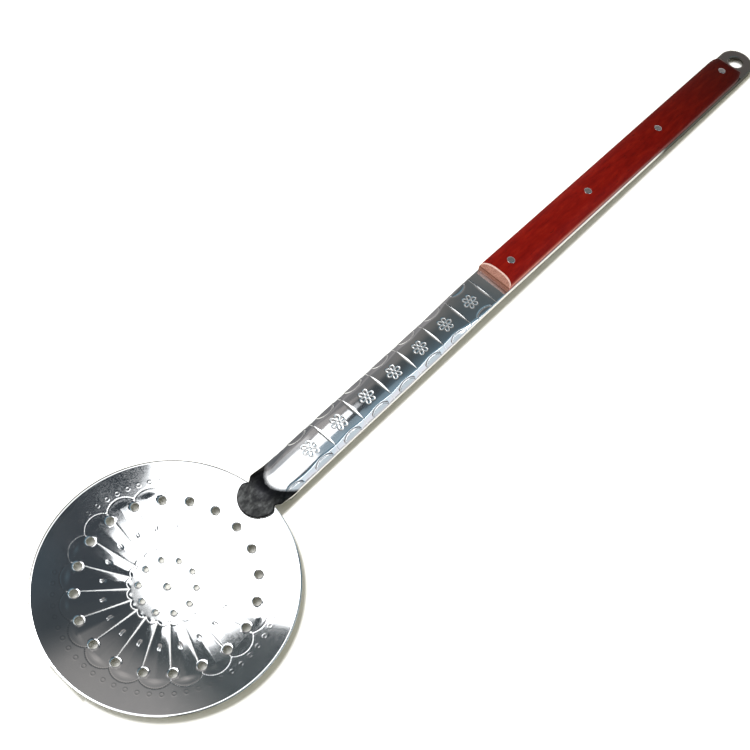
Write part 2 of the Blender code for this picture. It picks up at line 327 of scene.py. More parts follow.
# Pressed pattern of the dish: petals between radial lines, with beaded tips, a scalloped hub, seeds and marks
LINE_TURN = HOLE_TURN - math.radians(1.3)
PETAL_TURN = LINE_TURN + HOLE_PITCH / 2
LINE_INNER, LINE_OUTER = mm(19.6, 51.6)
TIP_APEX, HUB_APEX = mm(55.4, 21.6)
LINE_RISE, LINE_FALL = soft(LINE_INNER, -0.6, 0.4), soft(LINE_OUTER, -0.4, 0.6)
TIP_RISE = soft(LINE_OUTER, -0.5, 0.5)
HUB_RISE, HUB_FALL = soft(LINE_INNER, -0.8, 0.2), soft(HUB_APEX, 1, 2)
HUB_MIDDLE, HUB_REACH = mm(20.4, 2.2)
MIDDLE_FALL, MIDDLE_SATIN = soft(LINE_INNER, -1, 0), 0.26
BEAD_PITCH, BEAD_MEAN, BEAD_SWING = 1.1 * MM, 0.65, 0.35
SEED_RING, SEED_LENGTH, SEED_WIDTH = mm(33.4, 1.9, 1.15)
SEED_EDGE, SEED_HEIGHT, SEED_SATIN = 1.15, 0.06, 0.25
MARK_RING, MARK_RADIUS, MARKS_PER_PETAL = 58.5 * MM, 1.05 * MM, 3
PILLOW = 0.04
FINE_BESIDE, FINE_SEED, FINE_MARK = 0.6 * MM, 1.1, 1.1 * MM
# Kinds of line: width and height in millimetres, how satin and how stained. Satin lines are also painted
# paler, a painted highlight, and stained ones darker, partly painted shade. Pairs run from end to end
FLUTE = ((1.3, 0.35), (0.03, 0.012), 0, 0)
FLUTE_TOP = (0.22, 0.006, 0, 0)
FLUTE_GLEAM = ((0.54, 0.21), 0, (0.95, 0.55), 0)
TIP_BEADS = (0.24, 0.012, 0.12, 0)
TIP_GAPS = (0.3, 0, 0, 0.9)
HUB_LINE = (0.26, -0.018, 0.3, 0)
SEED_GROOVE = (0.3, -0.045, 0, 0)
MARK_LINE = (0.24, -0.005, 0.05, 0.25)


def arc_through(cusp_radius, apex_radius):
    """Centre distance and radius of the arc between two cusps a petal apart."""
    half_chord = cusp_radius * math.sin(HOLE_PITCH / 2)
    rise = apex_radius - cusp_radius * math.cos(HOLE_PITCH / 2)
    radius = (half_chord ** 2 + rise ** 2) / (2 * rise)
    return apex_radius - radius, radius


TIP_ARC = arc_through(LINE_OUTER, TIP_APEX)
HUB_ARC = arc_through(LINE_INNER, HUB_APEX)


def line_distance(radius, angle):
    return radius * np.sin(fold(angle, LINE_TURN, HOLE_PITCH))


def arc_distance(radius, angle, arc):
    """Distance from the arc of the nearest petal, and the place along it."""
    along, across = beside_spoke(radius, angle, PETAL_TURN, HOLE_PITCH, arc[0])
    return np.hypot(along, across) - arc[1], np.arctan2(across, along) * arc[1]


def seed_reach(radius, angle):
    """One on the outline of the nearest seed, less inside it, and the place across it."""
    along, across = beside_spoke(radius, angle, PETAL_TURN, HOLE_PITCH, SEED_RING)
    return np.hypot(along / SEED_LENGTH, across / SEED_WIDTH), across


def mark_distance(radius, angle):
    return np.hypot(*beside_spoke(radius, angle, HOLE_TURN, HOLE_PITCH / MARKS_PER_PETAL, MARK_RING))


def dish_relief(radius, angle):
    """What the tool presses into the plain bowl, with the painted highlights and painted shade of its lines.
    """
    off_line = line_distance(radius, angle)
    reach = np.clip((radius - LINE_INNER) / (LINE_OUTER - LINE_INNER), 0.0, 1.0)
    span = between(radius, LINE_RISE, LINE_FALL)
    press = Pressing()
    press.line(FLUTE, span, off_line, reach)
    press.line(FLUTE_TOP, span, off_line)
    press.line(FLUTE_GLEAM, span, off_line, reach)
    half_petal = radius * math.tan(HOLE_PITCH / 2)
    press.add(span * np.clip(off_line / half_petal, -1, 1) ** 2, -PILLOW)
    tip, along = arc_distance(radius, angle, TIP_ARC)
    bead = BEAD_MEAN + BEAD_SWING * np.cos(2 * np.pi * along / BEAD_PITCH)
    on_tip = smooth_step(radius, *TIP_RISE)
    press.line(TIP_BEADS, on_tip * bead, tip)
    press.line(TIP_GAPS, on_tip * (1 - bead), tip)
    hub, _ = arc_distance(radius, angle, HUB_ARC)
    press.line(HUB_LINE, between(radius, HUB_RISE, HUB_FALL), hub)
    press.add(1 - smooth_step(radius, *MIDDLE_FALL), satin_and_highlight=MIDDLE_SATIN)
    seed, across = seed_reach(radius, angle)
    inside = np.clip(SEED_EDGE - seed ** 2, 0.0, 1.0)
    press.add(inside, SEED_HEIGHT, SEED_SATIN)
    press.line(SEED_GROOVE, inside, across)
    press.line(MARK_LINE, 1.0, mark_distance(radius, angle) - MARK_RADIUS)
    return press


def dish_grade(radius, angle):
    """Lattice step at each place."""
    on_line = (radius > LINE_INNER - MM) & (radius < LINE_OUTER + MM)
    tip, _ = arc_distance(radius, angle, TIP_ARC)
    hub, _ = arc_distance(radius, angle, HUB_ARC)
    seed, _ = seed_reach(radius, angle)
    return lattice_step(np.minimum.reduce([
        np.where(on_line, np.abs(line_distance(radius, angle)) - FINE_BESIDE, NOWHERE),
        np.where(radius > LINE_OUTER - MM, np.abs(tip), NOWHERE),
        np.where(np.abs(radius - HUB_MIDDLE) < HUB_REACH, np.abs(hub), NOWHERE),
        (seed - FINE_SEED) * MM, mark_distance(radius, angle) - FINE_MARK]))


# Dish: one tenth is triangulated and repeated, so that the holes are true circles
SECTORS = 10
SECTOR_ANGLE = 2 * math.pi / SECTORS
SECTOR_START = HOLE_TURN - 1.5 * HOLE_PITCH
SECTOR_LINES, CENTRE_PACE, RIM_PACE, MOST_DOUBLINGS = 128, 32, 4, 5
HOLE_CORNERS, INNER_CORNERS = 32, 24
CENTRE_CORNERS = SECTORS * SECTOR_LINES // CENTRE_PACE
RIM_FLAT = RIM_RADIUS - 0.2 * MM
RIM_START = RIM_FLAT - 0.1 * MM
RIM_BULGE, RIM_STEPS = 0.53 * MM, 6
RIM_TUCK, TUCK_RUN = mm(1.3, 8.0)
# The rim is painted darker on the side that faces this way: a painted shade
RIM_SHADE_SIDE, RIM_SHADE_RISE = np.array([-0.378, 0.926]), (0.3, 0.75)
LIP_RINGS = mm(0, 0.18, 0.38, 0.62)
LIP_MARGIN = LIP_RINGS[-1] + 0.12 * MM
LIP_DROP = 0.12 * MM
OUTER_HOLES = (HOLE_RING, HOLE_RADIUS, HOLE_TURN)
INNER_HOLES = (INNER_RING, INNER_RADIUS, HOLE_TURN - HOLE_PITCH / 2)


def sector_holes():
    """Places, radii and corner counts of the three holes in one sector."""
    holes = [(HOLE_RING, HOLE_RADIUS, HOLE_TURN - HOLE_PITCH * index, HOLE_CORNERS) for index in range(2)]
    holes.append((*INNER_HOLES, INNER_CORNERS))
    return [(*polar(ring, turn), radius, corners) for ring, radius, turn, corners in holes]


def sector_points(coarse, holes):
    """Graded lattice of one sector and the loops of its borders and holes."""
    rings = int(round((RIM_FLAT - CENTRE_RADIUS) / FINE))
    radius = CENTRE_RADIUS + (RIM_FLAT - CENTRE_RADIUS) * np.arange(rings + 1) / rings
    line = np.arange(SECTOR_LINES + 1)
    angle = SECTOR_START + SECTOR_ANGLE * line / SECTOR_LINES
    grid_r, grid_a = np.meshgrid(radius, angle, indexing="ij")
    step = coarse * dish_grade(grid_r, grid_a)
    pace = step * FINE / (grid_r * SECTOR_ANGLE / SECTOR_LINES)
    pace = 2 ** np.clip(np.floor(np.log2(np.maximum(pace, 1.0))), 0, MOST_DOUBLINGS).astype(int)
    from_rim = rings - np.arange(rings + 1)
    keep = (from_rim[:, None] % step == 0) & (line % pace == 0)
    keep[0] = line % CENTRE_PACE == 0
    keep[-1] = line % RIM_PACE == 0
    keep[-2] = False
    grid = polar(grid_r, grid_a)
    keep &= clear_of(holes, grid[..., 0], grid[..., 1], LIP_MARGIN)
    order = np.full(keep.shape, -1)
    order[keep] = np.arange(keep.sum())
    points = [grid[keep]]
    loops = [order[:, 0][keep[:, 0]], order[:, -1][keep[:, -1]], order[0][keep[0]], order[-1][keep[-1]]]
    add_lips(points, loops, holes, LIP_RINGS)
    return np.concatenate(points), loops


def dish_plan(coarse):
    """Triangles of the whole dish in plan."""
    holes = sector_holes()
    solid = holes + [(0.0, 0.0, CENTRE_RADIUS, CENTRE_CORNERS)]
    verts, faces = triangulate(*sector_points(coarse, holes), lambda x, y: clear_of(solid, x, y))
    turned = []
    for index in range(SECTORS):
        c, s = math.cos(SECTOR_ANGLE * index), math.sin(SECTOR_ANGLE * index)
        turned.append(verts @ np.array([[c, s], [-s, c]]))
    all_faces = np.concatenate([faces + len(verts) * index for index in range(SECTORS)])
    return merge_close(np.concatenate(turned), all_faces)


def hole_lip(radius, angle):
    """Distance from the edge of the nearest hole."""
    lip = radius - CENTRE_RADIUS
    for count, (ring, hole_radius, turn) in ((HOLE_COUNT, OUTER_HOLES), (INNER_COUNT, INNER_HOLES)):
        reach = np.hypot(*beside_spoke(radius, angle, turn, 2 * math.pi / count, ring))
        lip = np.minimum(lip, reach - hole_radius)
    return lip


def in_order(edges, plan):
    """The border's edges in an order that two triangulations of the same outline share."""
    middle = snap(plan[edges].mean(axis=1))
    return edges[np.lexsort((middle[:, 1], middle[:, 0]))]


def rim_painted_shade(outward):
    """Painted shade on the rim: how dark it is painted, by the direction in which it faces."""
    return smooth_step(outward @ RIM_SHADE_SIDE, *RIM_SHADE_RISE)


def make_dish():
    shell = Shell()
    sides = []
    for coarse, under in ((1, False), (2, True)):
        plan, faces = dish_plan(coarse)
        edges = in_order(border_edges(faces), plan)
        radius, angle = np.hypot(*plan.T), np.arctan2(plan[:, 1], plan[:, 0])
        if under:
            radius = radius - RIM_TUCK * smooth_step(radius, RIM_FLAT - TUCK_RUN, RIM_FLAT)
            plan = polar(radius, angle)
        press = dish_relief(radius, angle)
        height, stained_and_shaded = bowl(radius) + press.height, press.stain_and_shade
        if under:
            height = np.maximum(height, 0.0)
        else:
            height = height + DISH_SHEET
            height -= LIP_DROP * np.clip(1 - hole_lip(radius, angle) / LIP_RINGS[-1], 0.0, 1.0) ** 2
            # The rounded top of the rim takes the painted shade on one side
            stained_and_shaded = np.where(radius > RIM_START, rim_painted_shade(plan / radius[:, None]), stained_and_shaded)
        verts = np.column_stack([plan, height])
        numbers = shell.add(verts, press.satin_and_highlight, stained_and_shaded)
        shell.cover(numbers, faces[:, ::-1] if under else faces)
        sides.append((numbers, verts, edges))

    # Walls of the holes and the rounded rim, edge by edge from the upper to the under face
    (top, upper, edges), (bottom, lower, under_edges) = sides
    border, first = np.unique(edges[:, 0], return_index=True)
    below = under_edges[first, 0]
    reach = np.hypot(*upper[border, :2].T)
    outward = upper[border, :2] / reach[:, None]
    bulge = np.where(reach > RIM_START, RIM_BULGE, 0.0)
    # The rim's outer wall takes the same painted shade on one side
    dull_and_shade = np.where(bulge > 0, rim_painted_shade(outward), 0.0)
    rings = [top[border]]
    for step in range(1, RIM_STEPS):
        turn = math.pi * step / RIM_STEPS
        share = (1 - math.cos(turn)) / 2
        ring = upper[border] * (1 - share) + lower[below] * share
        ring[:, :2] += outward * (bulge * math.sin(turn))[:, None]
        ring[:, :2] *= np.minimum(1.0, RIM_RADIUS / np.hypot(*ring[:, :2].T))[:, None]
        rings.append(shell.add(ring, stained_and_shaded=dull_and_shade))
    rings.append(bottom[below])
    shell.bridge(rings, np.searchsorted(border, edges))
    return shell.build("dish_pressed")


# Shank: a stadium-shaped sheet with a crown, rounded edges, flanges and a pressed pattern
EDGE_START, EDGE_ROUND, EDGE_LEAST = mm(0.5, 0.6, 0.25)
EDGE_SHARES = (0.25, 0.5, 0.75, 1.0)
CREASE = 0.45 * MM
CELL = 23.379 * MM
BLOSSOM_COUNT, FIRST_BLOSSOM, BLOSSOM_REACH = 7, 106.96 * MM, 7 * MM
BLOSSOMS_START = FIRST_BLOSSOM - CELL / 2
BLOSSOMS_END = FIRST_BLOSSOM + (BLOSSOM_COUNT - 0.5) * CELL
PETALS, PETAL_FLARE = 6, 0.22
PETAL_REACH, PETAL_LENGTH, PETAL_WIDTH = mm(2.85, 1.75, 1.12)
PATTERN_START, PATTERN_END = FIRST_BLOSSOM - 1.5 * CELL, BLOSSOMS_END
PATTERN_RISE, PATTERN_FALL = soft(PATTERN_START, 0, 2), soft(PATTERN_END, -2, 0)
BAND_WIDTH, BAND_SLOPE, BAND_FADE = 3.9 * MM, 0.58, 216.0 * MM
BAND_RISE, BAND_FALL = soft(RIM_RADIUS, -1, 14), (BAND_FADE, GRIP_FRONT_X - 9 * MM)
SWING, SWING_HALF = mm(0.95, 6.5)
CROWN, CROWN_RISE, CROWN_FALL = 0.8 * MM, soft(RIM_RADIUS, -2, 14), soft(GRIP_FRONT_X, -110, -4)
CROSS_RISE, CROSS_END, CROSS_HALF = soft(FIRST_BLOSSOM, 4, 6), PATTERN_END + 3 * MM, 11.4 * MM
LENS_HALF, LENS_POWER = 7.6 * MM, 1.3
ARC_LINE, ARC_RISE, ARC_HALF, ARC_SHIFT = mm(11.9, 3.4, 6.6, 0.6)
ARC_STEEP = 0.12
ARC_LIPS, ARC_LIP_WIDTH, ARC_PALE = ((-0.35 * MM, 1.0), (0.45 * MM, 0.8)), 0.24 * MM, 0.7
ARC_SHADE, ARC_SHADE_RISE, ARC_LATE = 0.28, mm(0.2, 1.0), soft(BAND_FADE, 10, 20)
# Kinds of line, as for the dish: width, height, how satin and how stained. Satin lines are also painted
# paler, a painted highlight
PETAL_LINE = (0.25, -0.12, 1, 0)
CROSS_LINE = ((0.27, 0.6), (-0.07, -0.19), (0.75, 1.0), 0)
ARC_GROOVE = (0.36, -0.12, 0, 0)
ARC_GLEAM = (0.36, 0, (0.8, 0.4), 0)
WELDS = (mm(61.0, 3.4, 2.6), mm(62.2, -4.0, 2.2), mm(66.8, 0.6, 1.9))
WELD_SQUASH, WELD_FLAT, WELD_DEPTH = 0.7, 0.3, 0.045
FINE_BLOSSOM, FINE_CROSS, FINE_RIM = mm(5.0, 0.5, 6.0)
FINE_BENDS = ((RIM_CORNER_X, 6 * MM), (GRIP_BACK_X, 3 * MM))
FLANGE_FILLET, FLANGE_LEAST = 6.0 * MM, SHANK_SHEET + 0.12 * MM
FLANGE_RISE = (RIM_RADIUS, RIM_RADIUS + FLANGE_START + 2 * MM)
FLANGE_DRAW = 4.0 * MM
HEM_CORNERS = ((0.0, 0.2 * MM), (0.12 * MM, 0.0), (SHANK_SHEET - 0.12 * MM, 0.0), (SHANK_SHEET, 0.2 * MM))
OUTLINE_STOPS = (TONGUE_CENTRE_X, 100 * MM, GRIP_FRONT_X + 2 * MM, EYE_X)
OUTLINE_STEPS = mm(0.6, 0.6, 2.4)
OUTLINE_CORNERS = 49
EYE_CORNERS, STEM_CORNERS = 64, 24
EYE_LIPS, EYE_DROP = mm(0, 0.3, 0.7), 0.3 * MM
EDGE_CLEAR, EYE_CLEAR, EDGE_PLAY = mm(0.2, 0.9, 0.05)
STEM_RADIUS, STEM_PLAY = mm(1.7, 0.1)
WAIST_X, WAIST_DEPTH, WAIST_HALF = RIM_RADIUS - 0.8 * MM, 2.0 * MM, 2.0 * MM


def cell_place(x):
    """Distance from the nearest blossom's station."""
    return fold(x, FIRST_BLOSSOM, CELL)


def cross_place(x):
    return fold(x, FIRST_BLOSSOM + CELL / 2, CELL)


def arc_place(x):
    return fold(x, FIRST_BLOSSOM + ARC_SHIFT, CELL)


def in_blossoms(x):
    return (x > BLOSSOMS_START) & (x < BLOSSOMS_END)


def shoulder(x):
    """Width and slope of the sloping band along each edge of the bare part."""
    bare = between(x, BAND_RISE, BAND_FALL)
    wide = BAND_WIDTH + SWING * ridge(arc_place(x), SWING_HALF)
    slope = BAND_SLOPE * bare * (BAND_WIDTH - CREASE) / (wide - CREASE)
    return taper((EDGE_ROUND, wide), bare), slope


def crown_drop(x, y):
    """How far the crowned sheet lies under its middle line."""
    return CROWN * between(x, CROWN_RISE, CROWN_FALL) * (y / HALF_WIDTH) ** 2


def spine_distance(x, y):
    """Distance from the middle line of the stadium, and the unit direction away from it."""
    away_x, away_y = x - np.clip(x, TONGUE_CENTRE_X, EYE_X), np.asarray(y, float)
    distance = np.hypot(away_x, away_y)
    safe = np.maximum(distance, 1e-9)
    return distance, away_x / safe, away_y / safe


def edge_drop(x, inset):
    """Drop at a distance in from the outline: a soft crease, then the band, then the rounded edge."""
    wide, slope = shoulder(x)
    lip = np.clip(1 - inset / EDGE_ROUND, 0.0, 1.0)
    return slope * ramp(wide - inset - CREASE, CREASE) + EDGE_ROUND * (1 - np.sqrt(1 - lip ** 2))


def petal_distance(x, y):
    """Distance from the nearest petal's outline."""
    along = cell_place(x)
    radius, angle = np.hypot(along, y), np.arctan2(y, along)
    length, across = beside_spoke(radius, angle, 0.0, 2 * math.pi / PETALS, PETAL_REACH)
    wide = PETAL_WIDTH * (1 + PETAL_FLARE * np.clip(length / PETAL_LENGTH, -1, 1))
    return (np.hypot(length / PETAL_LENGTH, across / wide) - 1) * PETAL_WIDTH


def scallop_distance(x, y):
    """Distance from the arcs along the nearer edge of the strip."""
    along = np.abs(arc_place(x))
    hump = np.sqrt(np.clip(1 - (along / ARC_HALF) ** 2, 0.0, 1.0))
    slope = along / (ARC_HALF ** 2) * ARC_RISE / np.maximum(hump, ARC_STEEP)
    slope = np.where(along < ARC_HALF, slope, 0.0)
    return (np.abs(y) - ARC_LINE + ARC_RISE * hump) / np.sqrt(1 + slope ** 2)


def shank_relief(x, y):
    """What the tool presses into the plain sheet, with the painted highlights and painted shade of its lines.
    """
    press = Pressing()
    in_reach = np.hypot(cell_place(x), y) < BLOSSOM_REACH
    press.line(PETAL_LINE, in_blossoms(x) * in_reach, petal_distance(x, y))
    lens = np.clip(1 - (y / LENS_HALF) ** 2, 0.0, 1.0) ** LENS_POWER
    cross = smooth_step(x, *CROSS_RISE) * (x < CROSS_END) * (np.abs(y) < CROSS_HALF)
    press.line(CROSS_LINE, cross, cross_place(x), lens)
    # Arcs: satin grooves on the left, double dark lines of painted shade on the right, which turn to pale
    # lines of painted highlight past the band
    arc = between(x, PATTERN_RISE, PATTERN_FALL) * (np.abs(arc_place(x)) < ARC_HALF)
    arc = arc * ((y < 0) | (x > BLOSSOMS_START))
    reach = scallop_distance(x, y)
    late = smooth_step(x, *ARC_LATE)
    press.line(ARC_GROOVE, arc, reach)
    press.line(ARC_GLEAM, arc * (y > 0), reach, late)
    lips = sum(share * ridge(reach - place, ARC_LIP_WIDTH) for place, share in ARC_LIPS)
    shade = np.maximum(lips, ARC_SHADE * smooth_step(reach, *ARC_SHADE_RISE))
    press.add(arc * (y < 0) * late * lips, satin_and_highlight=ARC_PALE)
    press.add(arc * (y < 0) * (1 - late) * shade, stain_and_shade=1.0)
    for weld_x, weld_y, size in WELDS:
        reach = np.hypot(x - weld_x, (y - weld_y) * WELD_SQUASH)
        press.add(1 - smooth_step(reach, WELD_FLAT * size, size), -WELD_DEPTH)
    return press


def shank_surface(x, y):
    """Upper face of the shank."""
    inset = HALF_WIDTH - spine_distance(x, y)[0]
    return shank_top(x) - crown_drop(x, y) - edge_drop(x, inset) + shank_relief(x, y).height


def shank_grade(x, y):
    """Lattice step at each place."""
    patterned = (x > PATTERN_START - MM) & (x < PATTERN_END + 2 * MM)
    near = [np.where(in_blossoms(x), np.hypot(cell_place(x), y) - FINE_BLOSSOM, NOWHERE),
            np.where(patterned, np.abs(cross_place(x)) - FINE_CROSS, NOWHERE),
            np.where(patterned, np.abs(scallop_distance(x, y)), NOWHERE)]
    near += [np.hypot(x - weld_x, y - weld_y) - size for weld_x, weld_y, size in WELDS]
    step = lattice_step(np.minimum.reduce(near))
    finer = (spine_distance(x, y)[0] > HALF_WIDTH - FINE_RIM) & (x < GRIP_FRONT_X)
    for bend_x, bend_reach in FINE_BENDS:
        finer |= np.abs(x - bend_x) < bend_reach
    return np.where(finer, np.minimum(step, 2), step)


def flange_bottom(x):
    """How far the flange hangs below the sheet, growing by a fillet behind the tongue."""
    share = np.clip((np.asarray(x, float) - RIM_RADIUS - FLANGE_START) / FLANGE_FILLET, 0.0, 1.0)
    return taper((FLANGE_LEAST, FLANGE_DEPTH), 1 - np.sqrt(np.maximum(1 - share ** 2, 0.0)))


def outline_points():
    """The stadium outline, EDGE_START in from the shank's edge, from the tongue round by the eye."""
    radius = HALF_WIDTH - EDGE_START
    side = np.concatenate([np.arange(*run) for run in zip(OUTLINE_STOPS, OUTLINE_STOPS[1:], OUTLINE_STEPS)])
    turn = np.linspace(math.pi / 2, 3 * math.pi / 2, OUTLINE_CORNERS)
    tongue = (TONGUE_CENTRE_X, 0.0) + polar(radius, turn)
    eye = (EYE_X, 0.0) - polar(radius, turn)
    right = np.stack([side[1:], np.full(len(side) - 1, -radius)], axis=1)
    left = right[::-1] * (1, -1)
    return np.concatenate([tongue, right, eye, left])


def shank_plan():
    """Triangles of the shank in plan, with the eye and the holes of the rivets."""
    x = np.arange(TIP_X, END_X, FINE)
    rows = math.ceil(HALF_WIDTH / FINE)
    row = np.arange(-rows, rows + 1)
    grid_x, grid_y = np.meshgrid(x, FINE * row, indexing="ij")
    step = shank_grade(grid_x, grid_y)
    keep = (np.arange(len(x))[:, None] % step == 0) & (row % step == 0)
    keep &= spine_distance(grid_x, grid_y)[0] < HALF_WIDTH - EDGE_START - EDGE_CLEAR
    holes = [(EYE_X, 0.0, EYE_RADIUS, EYE_CORNERS)]
    for index in range(RIVET_COUNT):
        along = (FIRST_RIVET + RIVET_STEP * index) * math.cos(math.atan(GRIP_SLOPE))
        holes.append((GRIP_FRONT_X + along, 0.0, STEM_RADIUS + STEM_PLAY, STEM_CORNERS))
    keep &= clear_of(holes, grid_x, grid_y, EYE_CLEAR)
    outline = outline_points()
    points = [outline, np.stack([grid_x[keep], grid_y[keep]], axis=1)]
    loops = [closed_loop(0, len(outline))]
    add_lips(points, loops, holes, EYE_LIPS)

    def inside(x, y):
        return (spine_distance(x, y)[0] < HALF_WIDTH - EDGE_START) & clear_of(holes, x, y)

    return triangulate(np.concatenate(points), loops, inside)


def edge_rings(base, out, flanged):
    """Rings of verts from the upper face over the rounded edge, down the flange and round its hem."""
    x = base[:, 0]
    start = math.asin(1 - EDGE_START / EDGE_ROUND)
    crown = shank_top(x) - crown_drop(x, base[:, 1])
    hem = crown - np.maximum(flange_bottom(x), edge_drop(x, 0.0) + EDGE_LEAST)
    for share in EDGE_SHARES:
        inset = EDGE_ROUND * (1 - math.sin(start + (math.pi / 2 - start) * share))
        yield np.column_stack([base + out * (EDGE_START - inset), crown - edge_drop(x, inset)])
    for inset, lift in HEM_CORNERS:
        inset = np.where(inset > SHANK_SHEET / 2, EDGE_START + (inset - EDGE_START) * flanged, inset)
        yield np.column_stack([base + out * (EDGE_START - inset)[:, None], hem + lift])


def make_shank():
    plan, faces = shank_plan()
    x, y = plan.T
    surface = shank_surface(x, y)
    lip = np.hypot(x - EYE_X, y) - EYE_RADIUS
    drop = EYE_DROP * np.clip(1 - lip / EYE_LIPS[-1], 0.0, 1.0) ** 2
    press = shank_relief(x, y)
    shell = Shell()
    top = shell.add(np.column_stack([plan, surface - drop]), press.satin_and_highlight, press.stain_and_shade)

    # Under face: the same plan drawn in at the sides, where the flanges hang
    distance, *away = spine_distance(x, y)
    away = np.stack(away, axis=1)
    flanged = smooth_step(x, *FLANGE_RISE)
    share = np.clip((distance - (HALF_WIDTH - FLANGE_DRAW)) / (FLANGE_DRAW - EDGE_START), 0.0, 1.0)
    under = plan - away * (share * SHANK_SHEET * flanged)[:, None]
    bottom = shell.add(np.column_stack([under, surface - SHANK_SHEET]))
    shell.cover(top, faces)
    shell.cover(bottom, faces[:, ::-1])

    # Walls of the holes, and the rounded edge with its flange
    edges = border_edges(faces)
    at_side = distance[edges].min(axis=1) > HALF_WIDTH - EDGE_START - EDGE_PLAY
    shell.bridge([top, bottom], edges[~at_side])
    edges = edges[at_side]
    border = np.unique(edges)
    rings = [shell.add(ring) for ring in edge_rings(plan[border], away[border], flanged[border])]
    shell.bridge([top[border], *rings, bottom[border]], np.searchsorted(border, edges))
    for verts in shell.verts:
        verts[:, 1] *= 1 - WAIST_DEPTH / HALF_WIDTH * ridge(verts[:, 0] - WAIST_X, WAIST_HALF)
    return shell.build("shank_stamped")


# Grip: a crowned wooden scale with a slanted facet at each end
SEAT = 0.05 * MM
FACET_SOFT, FACET_LEAST = mm(0.45, 0.12)
END_ROUND, END_REACH, END_STEP = 0.35 * MM, 6.6, 0.15
END_STATIONS = (0.0, 0.04, 0.12, 0.23, 0.35)
MIDDLE_STATIONS = 60
TAIL_ROUND, TAIL_CUT, TAIL_POWER = 8.5 * MM, 2.9 * MM, 1.5
FOOT_CORNERS = (mm(0.3, 0), mm(0.1, 0.1), mm(0, 0.3))
RIM_BELOW, RIM_ABOVE = mm(0.45, 0.2)
NOSE_LINE = 0.3 * MM
CORNERS, SIDE_CORNERS = 72, 4
ARRIS_FADE, ARRIS_END = mm(40.0, 150.0)
ARRIS_RISE, ARRIS_WIDE = mm(0.1, 1.4)
# Face looks: lacquer, the cut facet, the facet's rim with a painted highlight, and a thin line at the very
# end painted dark as shade
LACQUER, CUT_END, END_HIGHLIGHT, END_SHADE_LINE = range(4)
GRIP_SHARP, RIVET_SHARP = 35.0, 38.0


def grip_matrix():
    """Frame of the grip: along the shank's upper face, from the front end."""
    place = Matrix.Translation((DISH_X + GRIP_FRONT_X, 0.0, float(shank_top(GRIP_FRONT_X))))
    return place @ Matrix.Rotation(-math.atan(GRIP_SLOPE), 4, "Y")


def set_down(obj, matrix):
    """Turn the mesh itself and leave only the place to the object."""
    obj.data.transform(matrix.to_3x3().to_4x4())
    obj.location = matrix.to_translation()


def soft_min(a, b, blend):
    gap = np.maximum(blend - np.abs(a - b), 0.0)
    return np.minimum(a, b) - gap * gap / (4 * blend)


def make_grip():
    ends = np.concatenate([END_STATIONS, np.arange(0.5, END_REACH, END_STEP)]) * MM
    middle = np.linspace(ends[-1], GRIP_LENGTH - ends[-1], MIDDLE_STATIONS)[1:-1]
    stations = np.concatenate([ends, middle, GRIP_LENGTH - ends[::-1]])
    turn = np.linspace(0.0, math.pi, CORNERS)
    share_y = np.sign(np.cos(turn)) * np.abs(np.cos(turn)) ** (2 / GRIP_FULLNESS)
    share_z = np.abs(np.sin(turn)) ** (2 / GRIP_FULLNESS)
    side_top = GAP + GRIP_SIDE
    verts, faces, looks, arris_highlight = [], [], [], []
    for x in stations:
        from_end = min(x, GRIP_LENGTH - x)
        close = max(1 - from_end / END_ROUND, 0.0)
        inset = END_ROUND * (1 - math.sqrt(max(1 - close * close, 0.0)))
        tail = max(1 - (GRIP_LENGTH - x) / TAIL_ROUND, 0.0)
        wide = HALF_WIDTH - GRIP_INSET - inset - TAIL_CUT * tail ** TAIL_POWER
        slant = side_top + GRIP_CROWN * from_end / FACET_RUN - inset
        top = soft_min(side_top + GRIP_CROWN * share_z, np.full(CORNERS, slant), FACET_SOFT)
        top = np.maximum(top, side_top - inset - FACET_LEAST)
        left = [(wide - foot, SEAT + lift) for foot, lift in FOOT_CORNERS] + [(wide, (SEAT + side_top) / 2)]
        section = left + list(zip(wide * share_y, top)) + [(-y, z) for y, z in left[::-1]]
        verts += [(x, y, z) for y, z in section]
        # Painted highlight along the right arris of the front part
        front = 1 - smooth_step(x, ARRIS_FADE, ARRIS_END)
        arris_highlight += [front * (y < 0) * max(1 - abs(z - side_top - ARRIS_RISE) / ARRIS_WIDE, 0.0)
                   for y, z in section]
    count = CORNERS + 2 * SIDE_CORNERS
    for i in range(len(stations) - 1):
        from_end = (stations[i] + stations[i + 1]) / 2
        for j in range(count):
            k = (j + 1) % count
            faces.append((i * count + j, i * count + k, (i + 1) * count + k, (i + 1) * count + j))
            corner = j - SIDE_CORNERS
            on_top = 0 <= corner < CORNERS - 1
            height = GRIP_CROWN * max(share_z[corner:corner + 2]) if on_top else 0.0
            below = height - GRIP_CROWN * from_end / FACET_RUN
            look = LACQUER
            if from_end < NOSE_LINE:
                look = END_SHADE_LINE
            elif on_top and below > RIM_BELOW:
                look = CUT_END
            elif on_top and below > -RIM_ABOVE and from_end < FACET_RUN + RIM_ABOVE:
                look = END_HIGHLIGHT
            looks.append(look)
    faces.append(tuple(range(count - 1, -1, -1)))
    faces.append(tuple(range((len(stations) - 1) * count, len(stations) * count)))
    looks += [CUT_END, LACQUER]
    obj = mesh_object("grip_scale", np.array(verts), faces, GRIP_SHARP, {"arris_highlight": np.array(arris_highlight)})
    obj.data.polygons.foreach_set("material_index", looks)
    set_down(obj, grip_matrix())
    return obj


